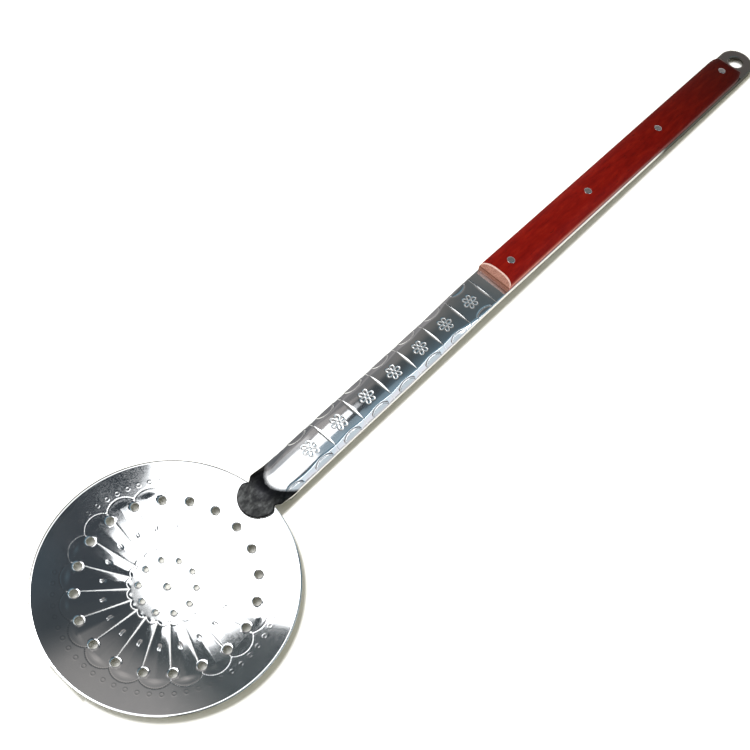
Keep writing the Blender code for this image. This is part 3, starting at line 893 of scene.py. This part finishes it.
# Rivets: turned head with a rounded edge, stem and tail. Profiles are radii and heights in millimetres
HEAD_TOP = GAP + GRIP_SIDE + GRIP_CROWN + 0.08 * MM
HEAD_PROFILE = (
    (0.0, 0.0), (0.8, -0.003), (1.5, -0.008), (2.1, -0.015), (2.34, -0.03), (2.48, -0.075), (2.56, -0.14),
    (2.62, -0.15), (2.7, -0.11), (2.79, -0.11), (2.88, -0.17), (2.95, -0.3), (3.0, -0.6), (3.0, -1.1),
    (STEM_RADIUS / MM, -1.1),
)
TAIL_TOP = -SHANK_SHEET - 0.02 * MM
TAIL_PROFILE = ((STEM_RADIUS / MM, 0.0), (2.6, 0.0), (2.6, -0.35), (2.236, -0.62), (1.3, -0.76), (0.0, -0.8))
RIVET_CORNERS = 56


def make_rivet(index):
    rows = [(r * MM, top + z * MM) for top, profile in ((HEAD_TOP, HEAD_PROFILE), (TAIL_TOP, TAIL_PROFILE))
            for r, z in profile]
    verts, faces, starts = [], [], []
    for radius, z in rows:
        starts.append(len(verts))
        if radius == 0.0:
            verts.append((0.0, 0.0, z))
        else:
            verts += [(x, y, z) for x, y in circle(0.0, 0.0, radius, RIVET_CORNERS).tolist()]
    for i in range(len(rows) - 1):
        a, b = starts[i], starts[i + 1]
        for j in range(RIVET_CORNERS):
            k = (j + 1) % RIVET_CORNERS
            if rows[i][0] == 0.0:
                faces.append((a, b + j, b + k))
            elif rows[i + 1][0] == 0.0:
                faces.append((a + k, a + j, b))
            else:
                faces.append((a + k, a + j, b + j, b + k))
    obj = mesh_object("rivet_turned_%d" % (index + 1), np.array(verts), faces, RIVET_SHARP)
    along = FIRST_RIVET + RIVET_STEP * index
    set_down(obj, grip_matrix() @ Matrix.Translation((along, 0.0, 0.0)))
    return obj


# Materials
class Tree:
    """A node tree, with short ways to add nodes. Inputs are values or the outputs of other nodes."""

    def __init__(self, owner):
        self.nodes, self.links = owner.node_tree.nodes, owner.node_tree.links

    def wire(self, node, inputs):
        for name, value in inputs.items():
            socket = node.inputs[name]
            if hasattr(value, "is_output"):
                self.links.new(value, socket)
            else:
                socket.default_value = (*value, 1.0) if socket.type == "RGBA" else value

    def add(self, kind, inputs=None, **settings):
        node = self.nodes.new("ShaderNode" + kind)
        for name, value in settings.items():
            setattr(node, name, value)
        self.wire(node, inputs or {})
        return node.outputs

    def place(self, scale=None):
        """Object coordinates, stretched by a scale along each axis."""
        place = self.add("TexCoord")["Object"]
        return self.add("Mapping", {"Vector": place, "Scale": scale})[0] if scale else place

    def split(self, vector):
        return self.add("SeparateXYZ", {"Vector": vector})

    def attribute(self, name):
        return self.add("Attribute", attribute_name=name)["Fac"]

    def noise(self, vector, scale=1.0, detail=2.0, roughness=0.5):
        inputs = {"Vector": vector, "Scale": scale, "Detail": detail, "Roughness": roughness}
        return self.add("TexNoise", inputs)["Fac"]

    def ramp(self, value, stops):
        node = self.nodes.new("ShaderNodeValToRGB")
        self.wire(node, {"Fac": value})
        elements = node.color_ramp.elements
        while len(elements) < len(stops):
            elements.new(0.5)
        for element, (place, colour) in zip(elements, stops):
            element.position = place
            element.color = (*colour, 1.0)
        return node.outputs["Color"]

    def span(self, value, low, high, to_low=0.0, to_high=1.0):
        inputs = {"Value": value, "From Min": low, "From Max": high, "To Min": to_low, "To Max": to_high}
        return self.add("MapRange", inputs)["Result"]

    def mix(self, share, first, second, mode="MIX"):
        inputs = {0: share, 6: first, 7: second}
        return self.add("Mix", inputs, data_type="RGBA", blend_type=mode)[2]

    def math(self, operation, first, second=0.0):
        return self.add("Math", {0: first, 1: second}, operation=operation)[0]

    def multiply(self, *factors):
        product = factors[0]
        for factor in factors[1:]:
            product = self.math("MULTIPLY", product, factor)
        return product

    def vector(self, operation, first, second):
        outputs = self.add("VectorMath", {0: first, 1: second}, operation=operation)
        return outputs["Vector" if operation == "SUBTRACT" else "Value"]

    def share_along(self, vector, axis, start, end):
        """How far a vector reaches along an axis, from 0 at start to 1 at end."""
        return self.span(self.vector("DOT_PRODUCT", vector, axis), start, end)

    def bump(self, height, distance, strength):
        inputs = {"Height": height, "Distance": distance, "Strength": strength}
        return self.add("Bump", inputs)["Normal"]


def new_material(name):
    material = bpy.data.materials.new(name)
    material.use_nodes = True
    tree = Tree(material)
    return material, tree, tree.nodes["Principled BSDF"]


WHITE = (1.0, 1.0, 1.0)
# Pressed lines are rougher and painted paler than the sheet: the pale colour is a painted highlight
PRESSED_HIGHLIGHT_COLOUR, PRESSED_ROUGHNESS = (0.9, 0.9, 0.885), 0.34
# Dark colour of the stained marks, which is painted shade in the grooves of the arcs and on one side of the
# rim
STAIN_AND_SHADE_COLOUR = (0.16, 0.145, 0.135)
# Noises: scale, detail, roughness
CLOUD_NOISE, CLOUD_DULL = (45.0, 4.0, 0.6), 0.012
RUB_NOISE, RUB_DEPTH = (900.0, 3.0, 0.65), 0.001 * MM


def polished_steel(name, dark, light, gloss, stretch=None):
    """Polished sheet: rubbing marks in the gloss, a cloudy tint, and the satin and stains of the pressing,
    with a painted highlight on the satin lines and painted shade in the stained ones.
    """
    material, tree, shader = new_material(name)
    cloud = tree.noise(tree.place(), *CLOUD_NOISE)
    marks = tree.noise(tree.place(stretch), *RUB_NOISE)
    pressed = tree.attribute("pressed")
    sheet = tree.mix(pressed, tree.ramp(cloud, ((0.3, dark), (0.65, light))), PRESSED_HIGHLIGHT_COLOUR)
    rough = tree.span(cloud, 0.3, 0.7, 0.0, CLOUD_DULL)
    rough = tree.math("ADD", rough, tree.span(marks, 0.35, 0.75, *gloss))
    tree.wire(shader, {
        "Base Color": tree.mix(tree.attribute("stained_and_shaded"), sheet, STAIN_AND_SHADE_COLOUR),
        "Roughness": tree.math("ADD", rough, tree.multiply(pressed, PRESSED_ROUGHNESS)),
        "Metallic": 1.0, "Normal": tree.bump(marks, RUB_DEPTH, 0.4)})
    return material, tree, shader


TONGUE_END, TONGUE_SOFT, TONGUE_ROUND, TONGUE_WANDER = 77.0 * MM, 3.0 * MM, 70.0, 1.2 * MM
TONGUE_NOISE, TONGUE_DULL, SIDE_DULL = (260.0, 4.0, 0.62), 0.26, 0.5
# Mottled near-black colour of the tongue and the neck's tint: a painted dark reflection
TONGUE_REFLECTION_STRETCH, TONGUE_REFLECTION_NOISE = (210.0, 330.0, 210.0), (1.0, 5.0, 0.66)
TONGUE_REFLECTION_STOPS = ((0.36, (0.006, 0.0063, 0.0068)), (0.5, (0.0135, 0.014, 0.014)), (0.64, (0.03, 0.031, 0.031)))
NECK_REFLECTION_TINT, NECK_SHARE = (0.007, 0.0072, 0.0098), 0.7
NECK_RISE, NECK_SIDE, NECK_RIGHT = mm(65.0, 72.0), (-9.0 * MM, 0.0), 0.3
EYE_TINT = (0.34, 0.31, 0.285)
EYE_RISE = soft(GRIP_BACK_X, -1, 0)
# Flange colours: pale as a painted reflection of the lit floor, and dark towards the eye as a painted dark
# reflection
FLANGE_REFLECTION_TINT, FLANGE_DARK_REFLECTION = (0.84, 0.815, 0.76), (0.06, 0.057, 0.047)
FLANGE_FADE = mm(434.0, 444.0)
UPRIGHT, BENT = (0.16, 0.05), (0.98, 0.9)
MARGIN = mm(8.0, 8.6)


def shank_material():
    material, tree, shader = polished_steel("shank_polish", dark=(0.59, 0.605, 0.63),
                                            light=(0.66, 0.67, 0.685), gloss=(0.05, 0.085),
                                            stretch=(1.0, 6.0, 6.0))
    steel, gloss = (shader.inputs[name].links[0].from_socket for name in ("Base Color", "Roughness"))
    place = tree.place()
    x, y, _ = tree.split(place)
    # Spot-welding has dulled the tongue; it is also painted near black, a painted dark reflection, most of
    # all at the left of the neck
    wander = tree.span(tree.noise(place, *TONGUE_NOISE), 0.0, 1.0, -TONGUE_WANDER, TONGUE_WANDER)
    edge = tree.math("ADD", tree.math("SUBTRACT", x, tree.multiply(y, y, TONGUE_ROUND)), wander)
    on_tongue = tree.span(edge, TONGUE_END, TONGUE_END - TONGUE_SOFT)
    neck = tree.multiply(tree.span(edge, *NECK_RISE, 0.0, NECK_SHARE), tree.span(y, *NECK_SIDE, NECK_RIGHT))
    # Painted dark reflection on the tongue and the neck
    scale = tree.ramp(tree.noise(tree.place(TONGUE_REFLECTION_STRETCH), *TONGUE_REFLECTION_NOISE), TONGUE_REFLECTION_STOPS)
    tint = tree.mix(on_tongue, steel, tree.mix(neck, scale, NECK_REFLECTION_TINT))
    # The hanging eye was never polished; the outer sides of the flanges are rougher and painted pale, a
    # painted reflection of the lit floor
    at_eye = tree.span(x, *EYE_RISE)
    facing = tree.math("ABSOLUTE", tree.split(tree.add("NewGeometry")["Normal"])["Z"])
    side = tree.span(facing, *UPRIGHT)
    tint = tree.mix(side, tree.mix(at_eye, tint, EYE_TINT), FLANGE_REFLECTION_TINT)
    # Towards the eye the flanges, their bends and the margin beside the grip are dull and painted dark, a
    # painted dark reflection
    beside = tree.multiply(tree.span(tree.math("ABSOLUTE", y), *MARGIN), tree.math("SUBTRACT", 1.0, at_eye))
    far = tree.multiply(tree.span(x, *FLANGE_FADE), tree.math("MAXIMUM", tree.span(facing, *BENT), beside))
    dull_and_shade = tree.math("ADD", gloss, tree.multiply(on_tongue, TONGUE_DULL))
    tree.wire(shader, {
        "Base Color": tree.mix(far, tint, FLANGE_DARK_REFLECTION),
        "Roughness": tree.math("ADD", dull_and_shade, tree.multiply(tree.math("MAXIMUM", side, far), SIDE_DULL))})
    return material


MOTTLE_STRETCH, MOTTLE_NOISE = (90.0, 380.0, 380.0), (1.0, 4.0, 0.6)
GRAIN_STRETCH, GRAIN_NOISE = (38.0, 560.0, 560.0), (1.0, 4.0, 0.55)
PORE_STRETCH = (190.0, 1300.0, 1300.0)
RED_STOPS = ((0.3, (0.21, 0.0034, 0.0017)), (0.46, (0.255, 0.005, 0.0022)),
             (0.6, (0.295, 0.008, 0.003)), (0.74, (0.345, 0.015, 0.0055)))
STREAK_STOPS = ((0.32, (0.72, 0.6, 0.55)), (0.58, WHITE), (0.75, (1.14, 1.25, 1.25)))
PORE_STOPS = ((0.26, (0.4, 0.32, 0.3)), (0.37, WHITE))
# Painted shade: the wood is darkened towards the eye
FAR_SHADE_STOPS = ((0.0, WHITE), (0.45, (0.92, 0.94, 0.94)), (0.75, (0.58, 0.76, 0.78)), (1.0, (0.2, 0.52, 0.54)))
# Pale pink of the painted highlight on the right arris
ARRIS_HIGHLIGHT_COLOUR = (0.92, 0.26, 0.2)
COAT_FADE, COAT_WEIGHT = mm(100.0, 180.0), (0.25, 0.03)


def wood_material():
    """Red lacquer over fine mottled grain, with painted shade darkening it towards the eye and a painted
    highlight along its right edge.
    """
    material, tree, shader = new_material("lacquered_wood")
    mottle = tree.noise(tree.place(MOTTLE_STRETCH), *MOTTLE_NOISE)
    grain = tree.noise(tree.place(GRAIN_STRETCH), *GRAIN_NOISE)
    pores = tree.noise(tree.place(PORE_STRETCH))
    x = tree.split(tree.place())["X"]
    shade = tree.mix(0.5, tree.ramp(mottle, RED_STOPS), tree.ramp(grain, STREAK_STOPS), "MULTIPLY")
    shade = tree.mix(0.8, shade, tree.ramp(pores, PORE_STOPS), "MULTIPLY")
    # Painted shade, darker towards the eye
    shade = tree.mix(1.0, shade, tree.ramp(tree.span(x, 0.0, GRIP_LENGTH), FAR_SHADE_STOPS), "MULTIPLY")
    tree.wire(shader, {
        "Base Color": tree.mix(tree.attribute("arris_highlight"), shade, ARRIS_HIGHLIGHT_COLOUR),
        "Roughness": tree.span(grain, 0.3, 0.7, 0.42, 0.52), "Specular IOR Level": 0.05,
        "Coat Weight": tree.span(x, *COAT_FADE, *COAT_WEIGHT), "Coat Roughness": 0.11,
        "Normal": tree.bump(pores, 0.012 * MM, 0.5)})
    return material


SPECK_STOPS, SPECK_NOISE = ((0.36, (0.52, 0.34, 0.3)), (0.54, WHITE)), (1700.0, 2.0, 0.6)
CUT_STRETCH, CUT_NOISE = (1.0, 260.0, 900.0), (1.0, 3.0)
# Cut ends, in the order of their looks after the lacquer: the facet, its rim and the line at the very end.
# Name, dark, light, how speckled. The rim is painted pale, a painted highlight, and the end line dark, a
# painted shade line
END_LOOKS = (("wood_end_grain", (0.4, 0.155, 0.1), (0.5, 0.22, 0.15), 0.85),
             ("wood_end_highlight", (0.84, 0.55, 0.49), (0.95, 0.68, 0.62), 0.15),
             ("wood_end_shade_line", (0.16, 0.055, 0.035), (0.24, 0.09, 0.055), 0.6))


def end_grain(name, dark, light, speckle):
    """Cut end of the wood, paler and speckled with open pores; in other colours the same look paints the
    highlight on the facet's rim and the shade line at the very end.
    """
    material, tree, shader = new_material(name)
    specks = tree.noise(tree.place(), *SPECK_NOISE)
    rings = tree.noise(tree.place(CUT_STRETCH), *CUT_NOISE)
    base = tree.ramp(rings, ((0.3, dark), (0.7, light)))
    tree.wire(shader, {
        "Base Color": tree.mix(speckle, base, tree.ramp(specks, SPECK_STOPS), "MULTIPLY"),
        "Roughness": tree.span(specks, 0.3, 0.7, 0.5, 0.36), "Specular IOR Level": 0.3,
        "Normal": tree.bump(specks, 0.04 * MM, 0.6)})
    return material


RIVET_NOISE = (700.0, 4.0, 0.6)
RIVET_STOPS = ((0.3, (0.53, 0.5, 0.495)), (0.7, (0.68, 0.64, 0.63)))


def rivet_material():
    material, tree, shader = new_material("rivet_steel")
    cloud = tree.noise(tree.place(), *RIVET_NOISE)
    tree.wire(shader, {
        "Base Color": tree.ramp(cloud, RIVET_STOPS),
        "Roughness": tree.span(cloud, 0.3, 0.7, 0.13, 0.22), "Metallic": 1.0,
        "Normal": tree.bump(cloud, 0.01 * MM, 0.4)})
    return material


# Pieces
dish = make_dish()
dish.data.materials.append(polished_steel("dish_polish", dark=(0.59, 0.61, 0.63), light=(0.66, 0.675, 0.69),
                                          gloss=(0.025, 0.055))[0])
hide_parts("dish")

shank = make_shank()
shank.data.materials.append(shank_material())
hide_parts("shank")

grip = make_grip()
grip.data.materials.append(wood_material())
for look in END_LOOKS:
    grip.data.materials.append(end_grain(*look))
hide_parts("grip")

pieces = [dish, shank, grip]
steel = rivet_material()
for index in range(RIVET_COUNT):
    rivet = make_rivet(index)
    rivet.data.materials.append(steel)
    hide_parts("rivet_%d" % (index + 1))
    pieces.append(rivet)
for piece in pieces:
    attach(piece, "root")

# Camera, calibrated against the holes, blossoms and rivets of the photograph
CAMERA_PLACE = mm(-125.37, -186.99, 595.27)
CAMERA_TURN = (30.615, -5.2523, -47.823)
CAMERA_LENS, CAMERA_SENSOR, CAMERA_CLIP = 56.414, 36.0, 0.01
camera = scene_object("camera", bpy.data.cameras.new("camera"))
camera.data.sensor_fit = "HORIZONTAL"
camera.data.sensor_width = CAMERA_SENSOR
camera.data.lens = CAMERA_LENS
camera.data.clip_start = CAMERA_CLIP
camera.location = (DISH_X + CAMERA_PLACE[0], *CAMERA_PLACE[1:])
camera.rotation_euler = [math.radians(angle) for angle in CAMERA_TURN]
bpy.context.scene.camera = camera

# Floor: white where it is seen, with a glow that fades out towards the tool, so that it keeps the shadow. The
# fade is shifted towards the shadow side, so the crisp edge of the shadow band beside the tool is a painted
# shadow
FLOOR_HALF = 3.0
FLOOR_CORNERS = ((-1, -1), (1, -1), (1, 1), (-1, 1))
PAPER_SCALE = 30.0
PAPER_STOPS = ((0.3, (0.92, 0.912, 0.87)), (0.7, (0.94, 0.932, 0.89)))
FLOOR_GLOW, GLOW_RUN, GLOW_SHIFT = 0.7, 1.4 * MM, (0.9 * MM, -1.5 * MM, 0.0)
FAR_GLOW, FAR_RISE = 0.5, (0.5, 2.5)


def sheet_object(name, corners):
    """Flat sheet of one face."""
    mesh = bpy.data.meshes.new(name)
    mesh.from_pydata(corners, [], [tuple(range(len(corners)))])
    return scene_object(name, mesh)


floor = sheet_object("floor", [(x * FLOOR_HALF, y * FLOOR_HALF, 0.0) for x, y in FLOOR_CORNERS])
material, tree, shader = new_material("floor_paper")
floor.data.materials.append(material)
rays = tree.add("LightPath")
seen = tree.math("MAXIMUM", rays["Is Camera Ray"], rays["Is Glossy Ray"])
seen = tree.math("MAXIMUM", seen, rays["Is Transmission Ray"])
# The glow is withheld in a band shifted to the shadow side: the edge of the shadow band is painted
spot = tree.vector("SUBTRACT", tree.place(), GLOW_SHIFT)
spot_x, spot_y, _ = tree.split(spot)
from_dish = tree.math("SUBTRACT", tree.vector("DISTANCE", spot, (DISH_X, 0.0, 0.0)), RIM_RADIUS)
beside = tree.math("SUBTRACT", tree.math("ABSOLUTE", spot_y), HALF_WIDTH)
beyond = tree.math("SUBTRACT", tree.math("ABSOLUTE", spot_x), float(SHANK_HIGH[0]))
away = tree.math("MINIMUM", from_dish, tree.math("MAXIMUM", beside, beyond))
from_eye = tree.vector("DISTANCE", spot, (DISH_X + EYE_X, 0.0, 0.0))
away = tree.math("MAXIMUM", away, tree.math("SUBTRACT", EYE_RADIUS + GLOW_RUN, from_eye))
glow = tree.span(away, 0.0, GLOW_RUN, 0.0, FLOOR_GLOW)
glow = tree.math("ADD", glow, tree.span(away, *FAR_RISE, 0.0, FAR_GLOW))
tree.wire(shader, {
    "Base Color": tree.ramp(tree.noise(tree.place(), PAPER_SCALE), PAPER_STOPS), "Roughness": 0.9,
    "Specular IOR Level": 0.0, "Emission Color": WHITE, "Emission Strength": tree.multiply(seen, glow)})
# From below the floor is clear, so that the underside can be looked at
clear = tree.add("MixShader", {0: tree.add("NewGeometry")["Backfacing"], 1: shader.outputs["BSDF"],
                               2: tree.add("BsdfTransparent")["BSDF"]})
tree.wire(tree.nodes["Material Output"], {"Surface": clear["Shader"]})

# Light: two shaped sheets high overhead, a panel with a bright edge on the right, a small key, and cards
# close above the strip. Places are distances from the dish's middle, to the right and away in the photo
RIGHT = Vector((0.6714, -0.7411, 0.0))
AWAY = Vector((0.7411, 0.6714, 0.0))
SHEET_MIDDLE = Vector((DISH_X, 0.0, 2.0))
BOX_OUTLINE = ((-2.4, -0.7), (-0.1, -0.7), (-0.1, 0.3), (0.05, 0.4), (0.1, 0.51), (0.115, 0.64),
               (0.02, 0.7), (0.015, 0.83), (-0.13, 0.97), (-0.13, 1.05), (-0.2, 1.11), (-0.3, 1.14),
               (-0.43, 1.13), (-0.56, 0.94), (-2.4, 0.94))
BOX_RADIANCE = 2.6
RING_OUTLINE = ((-0.5, 1.15), (-0.32, 1.19), (-0.1, 1.13), (0.05, 1.0), (0.1, 0.92), (0.22, 0.92),
                (0.22, 1.4), (-0.5, 1.4))
RING_MIDDLE, RING_RISE = -0.32 * RIGHT + 0.75 * AWAY, (0.45, 0.56)
RING_RIGHT, RING_LEFT, RING_NEAR = (0.19, 0.08), (-0.48, -0.36), (0.93, 1.06)
RING_RADIANCE, RING_COLOUR = 0.53, (1.0, 0.94, 0.9)
# Lamps: name, extent to the right, extent away, height, radiance
LAMPS = (("right_edge", (0.86, 1.0), (-0.6, 0.5), 1.2, 4.0),
         ("right_panel", (1.0, 2.1), (-0.6, 0.36), 1.2, 0.84),
         ("key", (-0.29, -0.11), (0.04, 0.22), 0.6, 14.0))
# Cards: extent along the strip, extent across it, radiance
STRIP_AXES = (Vector((1, 0, 0)), Vector((0, 1, 0)))
CARD_HEIGHT = 0.35
CARDS = (((0.182, 0.222), (0.041, 0.149), 1.9), ((0.222, 0.268), (0.077, 0.139), 1.9),
         ((0.268, 0.292), (0.091, 0.125), 1.9), ((0.292, 0.306), (0.095, 0.121), 0.75),
         ((0.19, 0.24), (0.1495, 0.176), 0.5))
HAZE_COLOUR = (0.7, 0.89, 1.0)
HAZES = (((0.222, 0.262), (0.012, 0.077), 0.5), ((0.262, 0.3), (0.01, 0.07), 0.32),
         ((0.3, 0.345), (0.008, 0.06), 0.2))


def ceiling_lamp(name, across, along, height, radiance, axes=(RIGHT, AWAY), colour=WHITE):
    """Level rectangular lamp between two distances from the dish's middle along each of two axes."""
    data = bpy.data.lights.new(name, "AREA")
    data.shape = "RECTANGLE"
    data.size, data.size_y = across[1] - across[0], along[1] - along[0]
    data.energy = radiance * math.pi * data.size * data.size_y
    data.color = colour
    obj = scene_object(name, data)
    place = Vector((DISH_X, 0.0, height)) + axes[0] * (sum(across) / 2) + axes[1] * (sum(along) / 2)
    obj.matrix_world = Matrix.Translation(place) @ Matrix((*axes, Vector((0, 0, 1)))).transposed().to_4x4()
    obj.visible_camera = False


def glowing_sheet(name, outline, radiance, colour):
    """Level sheet overhead, whose outline the dish mirrors as the border of a bright patch."""
    obj = sheet_object(name, [SHEET_MIDDLE + RIGHT * right + AWAY * away for right, away in outline])
    material, tree, shader = new_material(name)
    tree.wire(shader, {"Base Color": (0.0, 0.0, 0.0), "Specular IOR Level": 0.0, "Emission Color": colour,
                       "Emission Strength": radiance})
    obj.data.materials.append(material)
    obj.visible_camera = False
    return tree, shader


glowing_sheet("soft_box", BOX_OUTLINE, BOX_RADIANCE, WHITE)
# The far card fades out softly towards its near border and its two ends
tree, shader = glowing_sheet("far_card", RING_OUTLINE, RING_RADIANCE, RING_COLOUR)
spot = tree.vector("SUBTRACT", tree.place(), SHEET_MIDDLE)
fades = [tree.share_along(spot, axis, *limits)
         for axis, limits in ((RIGHT, RING_RIGHT), (RIGHT, RING_LEFT), (AWAY, RING_NEAR))]
near = tree.span(tree.vector("DISTANCE", spot, RING_MIDDLE), *RING_RISE)
tree.wire(shader, {"Alpha": tree.multiply(near, *fades)})
for lamp in LAMPS:
    ceiling_lamp(*lamp)
for along, across, radiance in CARDS:
    ceiling_lamp("strip_card", along, across, CARD_HEIGHT, radiance, STRIP_AXES)
for along, across, radiance in HAZES:
    ceiling_lamp("strip_haze", along, across, CARD_HEIGHT, radiance, STRIP_AXES, HAZE_COLOUR)

# Room: white for the camera and a dim warm fill for the light. Reflections see it dark overhead, with a pale
# window high on the right, pale walls beyond the dish and a dark side on the left
ROOM_FILL = (0.235, 0.226, 0.138)
ROOM_STOPS = ((0.0, WHITE), (0.4, (0.85, 0.85, 0.85)), (0.53, (0.46, 0.45, 0.45)),
              (0.62, (0.25, 0.245, 0.25)), (0.71, (0.17, 0.175, 0.175)), (0.78, (0.15, 0.165, 0.165)),
              (0.83, (0.11, 0.128, 0.132)), (0.87, (0.08, 0.092, 0.099)), (0.93, (0.068, 0.079, 0.09)))
WINDOW_COLOUR, WINDOW_RIGHT, WINDOW_AWAY = (0.235, 0.37, 0.45), (0.11, 0.27), (0.58, 0.46)
BACK_COLOUR, BACK_AXIS = (0.22, 0.215, 0.205), AWAY - 0.4 * RIGHT
BACK_RISE, BACK_RIGHT = (0.495, 0.53), (-0.02, 0.03)
WALL_COLOUR, WALL_AXIS = (0.42, 0.4, 0.395), AWAY + 0.3 * RIGHT
WALL_RISE, WALL_LEFT = (0.5, 0.54), (0.07, -0.13)
DARK_COLOUR, DARK_LEFT = (0.17, 0.18, 0.19), (-0.3, -0.55)
world = bpy.data.worlds.new("room")
bpy.context.scene.world = world
world.use_nodes = True
tree = Tree(world)
facing = tree.add("TexCoord")["Generated"]


def towards(*limits):
    """Share of a direction within limits, each an axis with the start and the end of a rise along it."""
    return tree.multiply(*(tree.share_along(facing, axis, *rise) for axis, rise in limits))


room = tree.ramp(tree.split(facing)["Z"], ROOM_STOPS)
window = towards((RIGHT, WINDOW_RIGHT), (AWAY, WINDOW_AWAY))
room = tree.mix(window, room, tree.mix(1.0, room, WINDOW_COLOUR, "LIGHTEN"))
back = towards((BACK_AXIS, BACK_RISE), (RIGHT, BACK_RIGHT))
room = tree.mix(back, room, tree.mix(1.0, room, BACK_COLOUR, "LIGHTEN"))
room = tree.mix(towards((WALL_AXIS, WALL_RISE), (RIGHT, WALL_LEFT)), room, WALL_COLOUR)
room = tree.mix(towards((RIGHT, DARK_LEFT)), room, DARK_COLOUR)
rays = tree.add("LightPath")
mirrored = tree.math("MAXIMUM", rays["Is Glossy Ray"], rays["Is Transmission Ray"])
room = tree.mix(rays["Is Camera Ray"], tree.mix(mirrored, ROOM_FILL, room), WHITE)
tree.wire(tree.nodes["Background"], {"Color": room, "Strength": 1.0})

bpy.context.scene.view_settings.view_transform = "Standard"
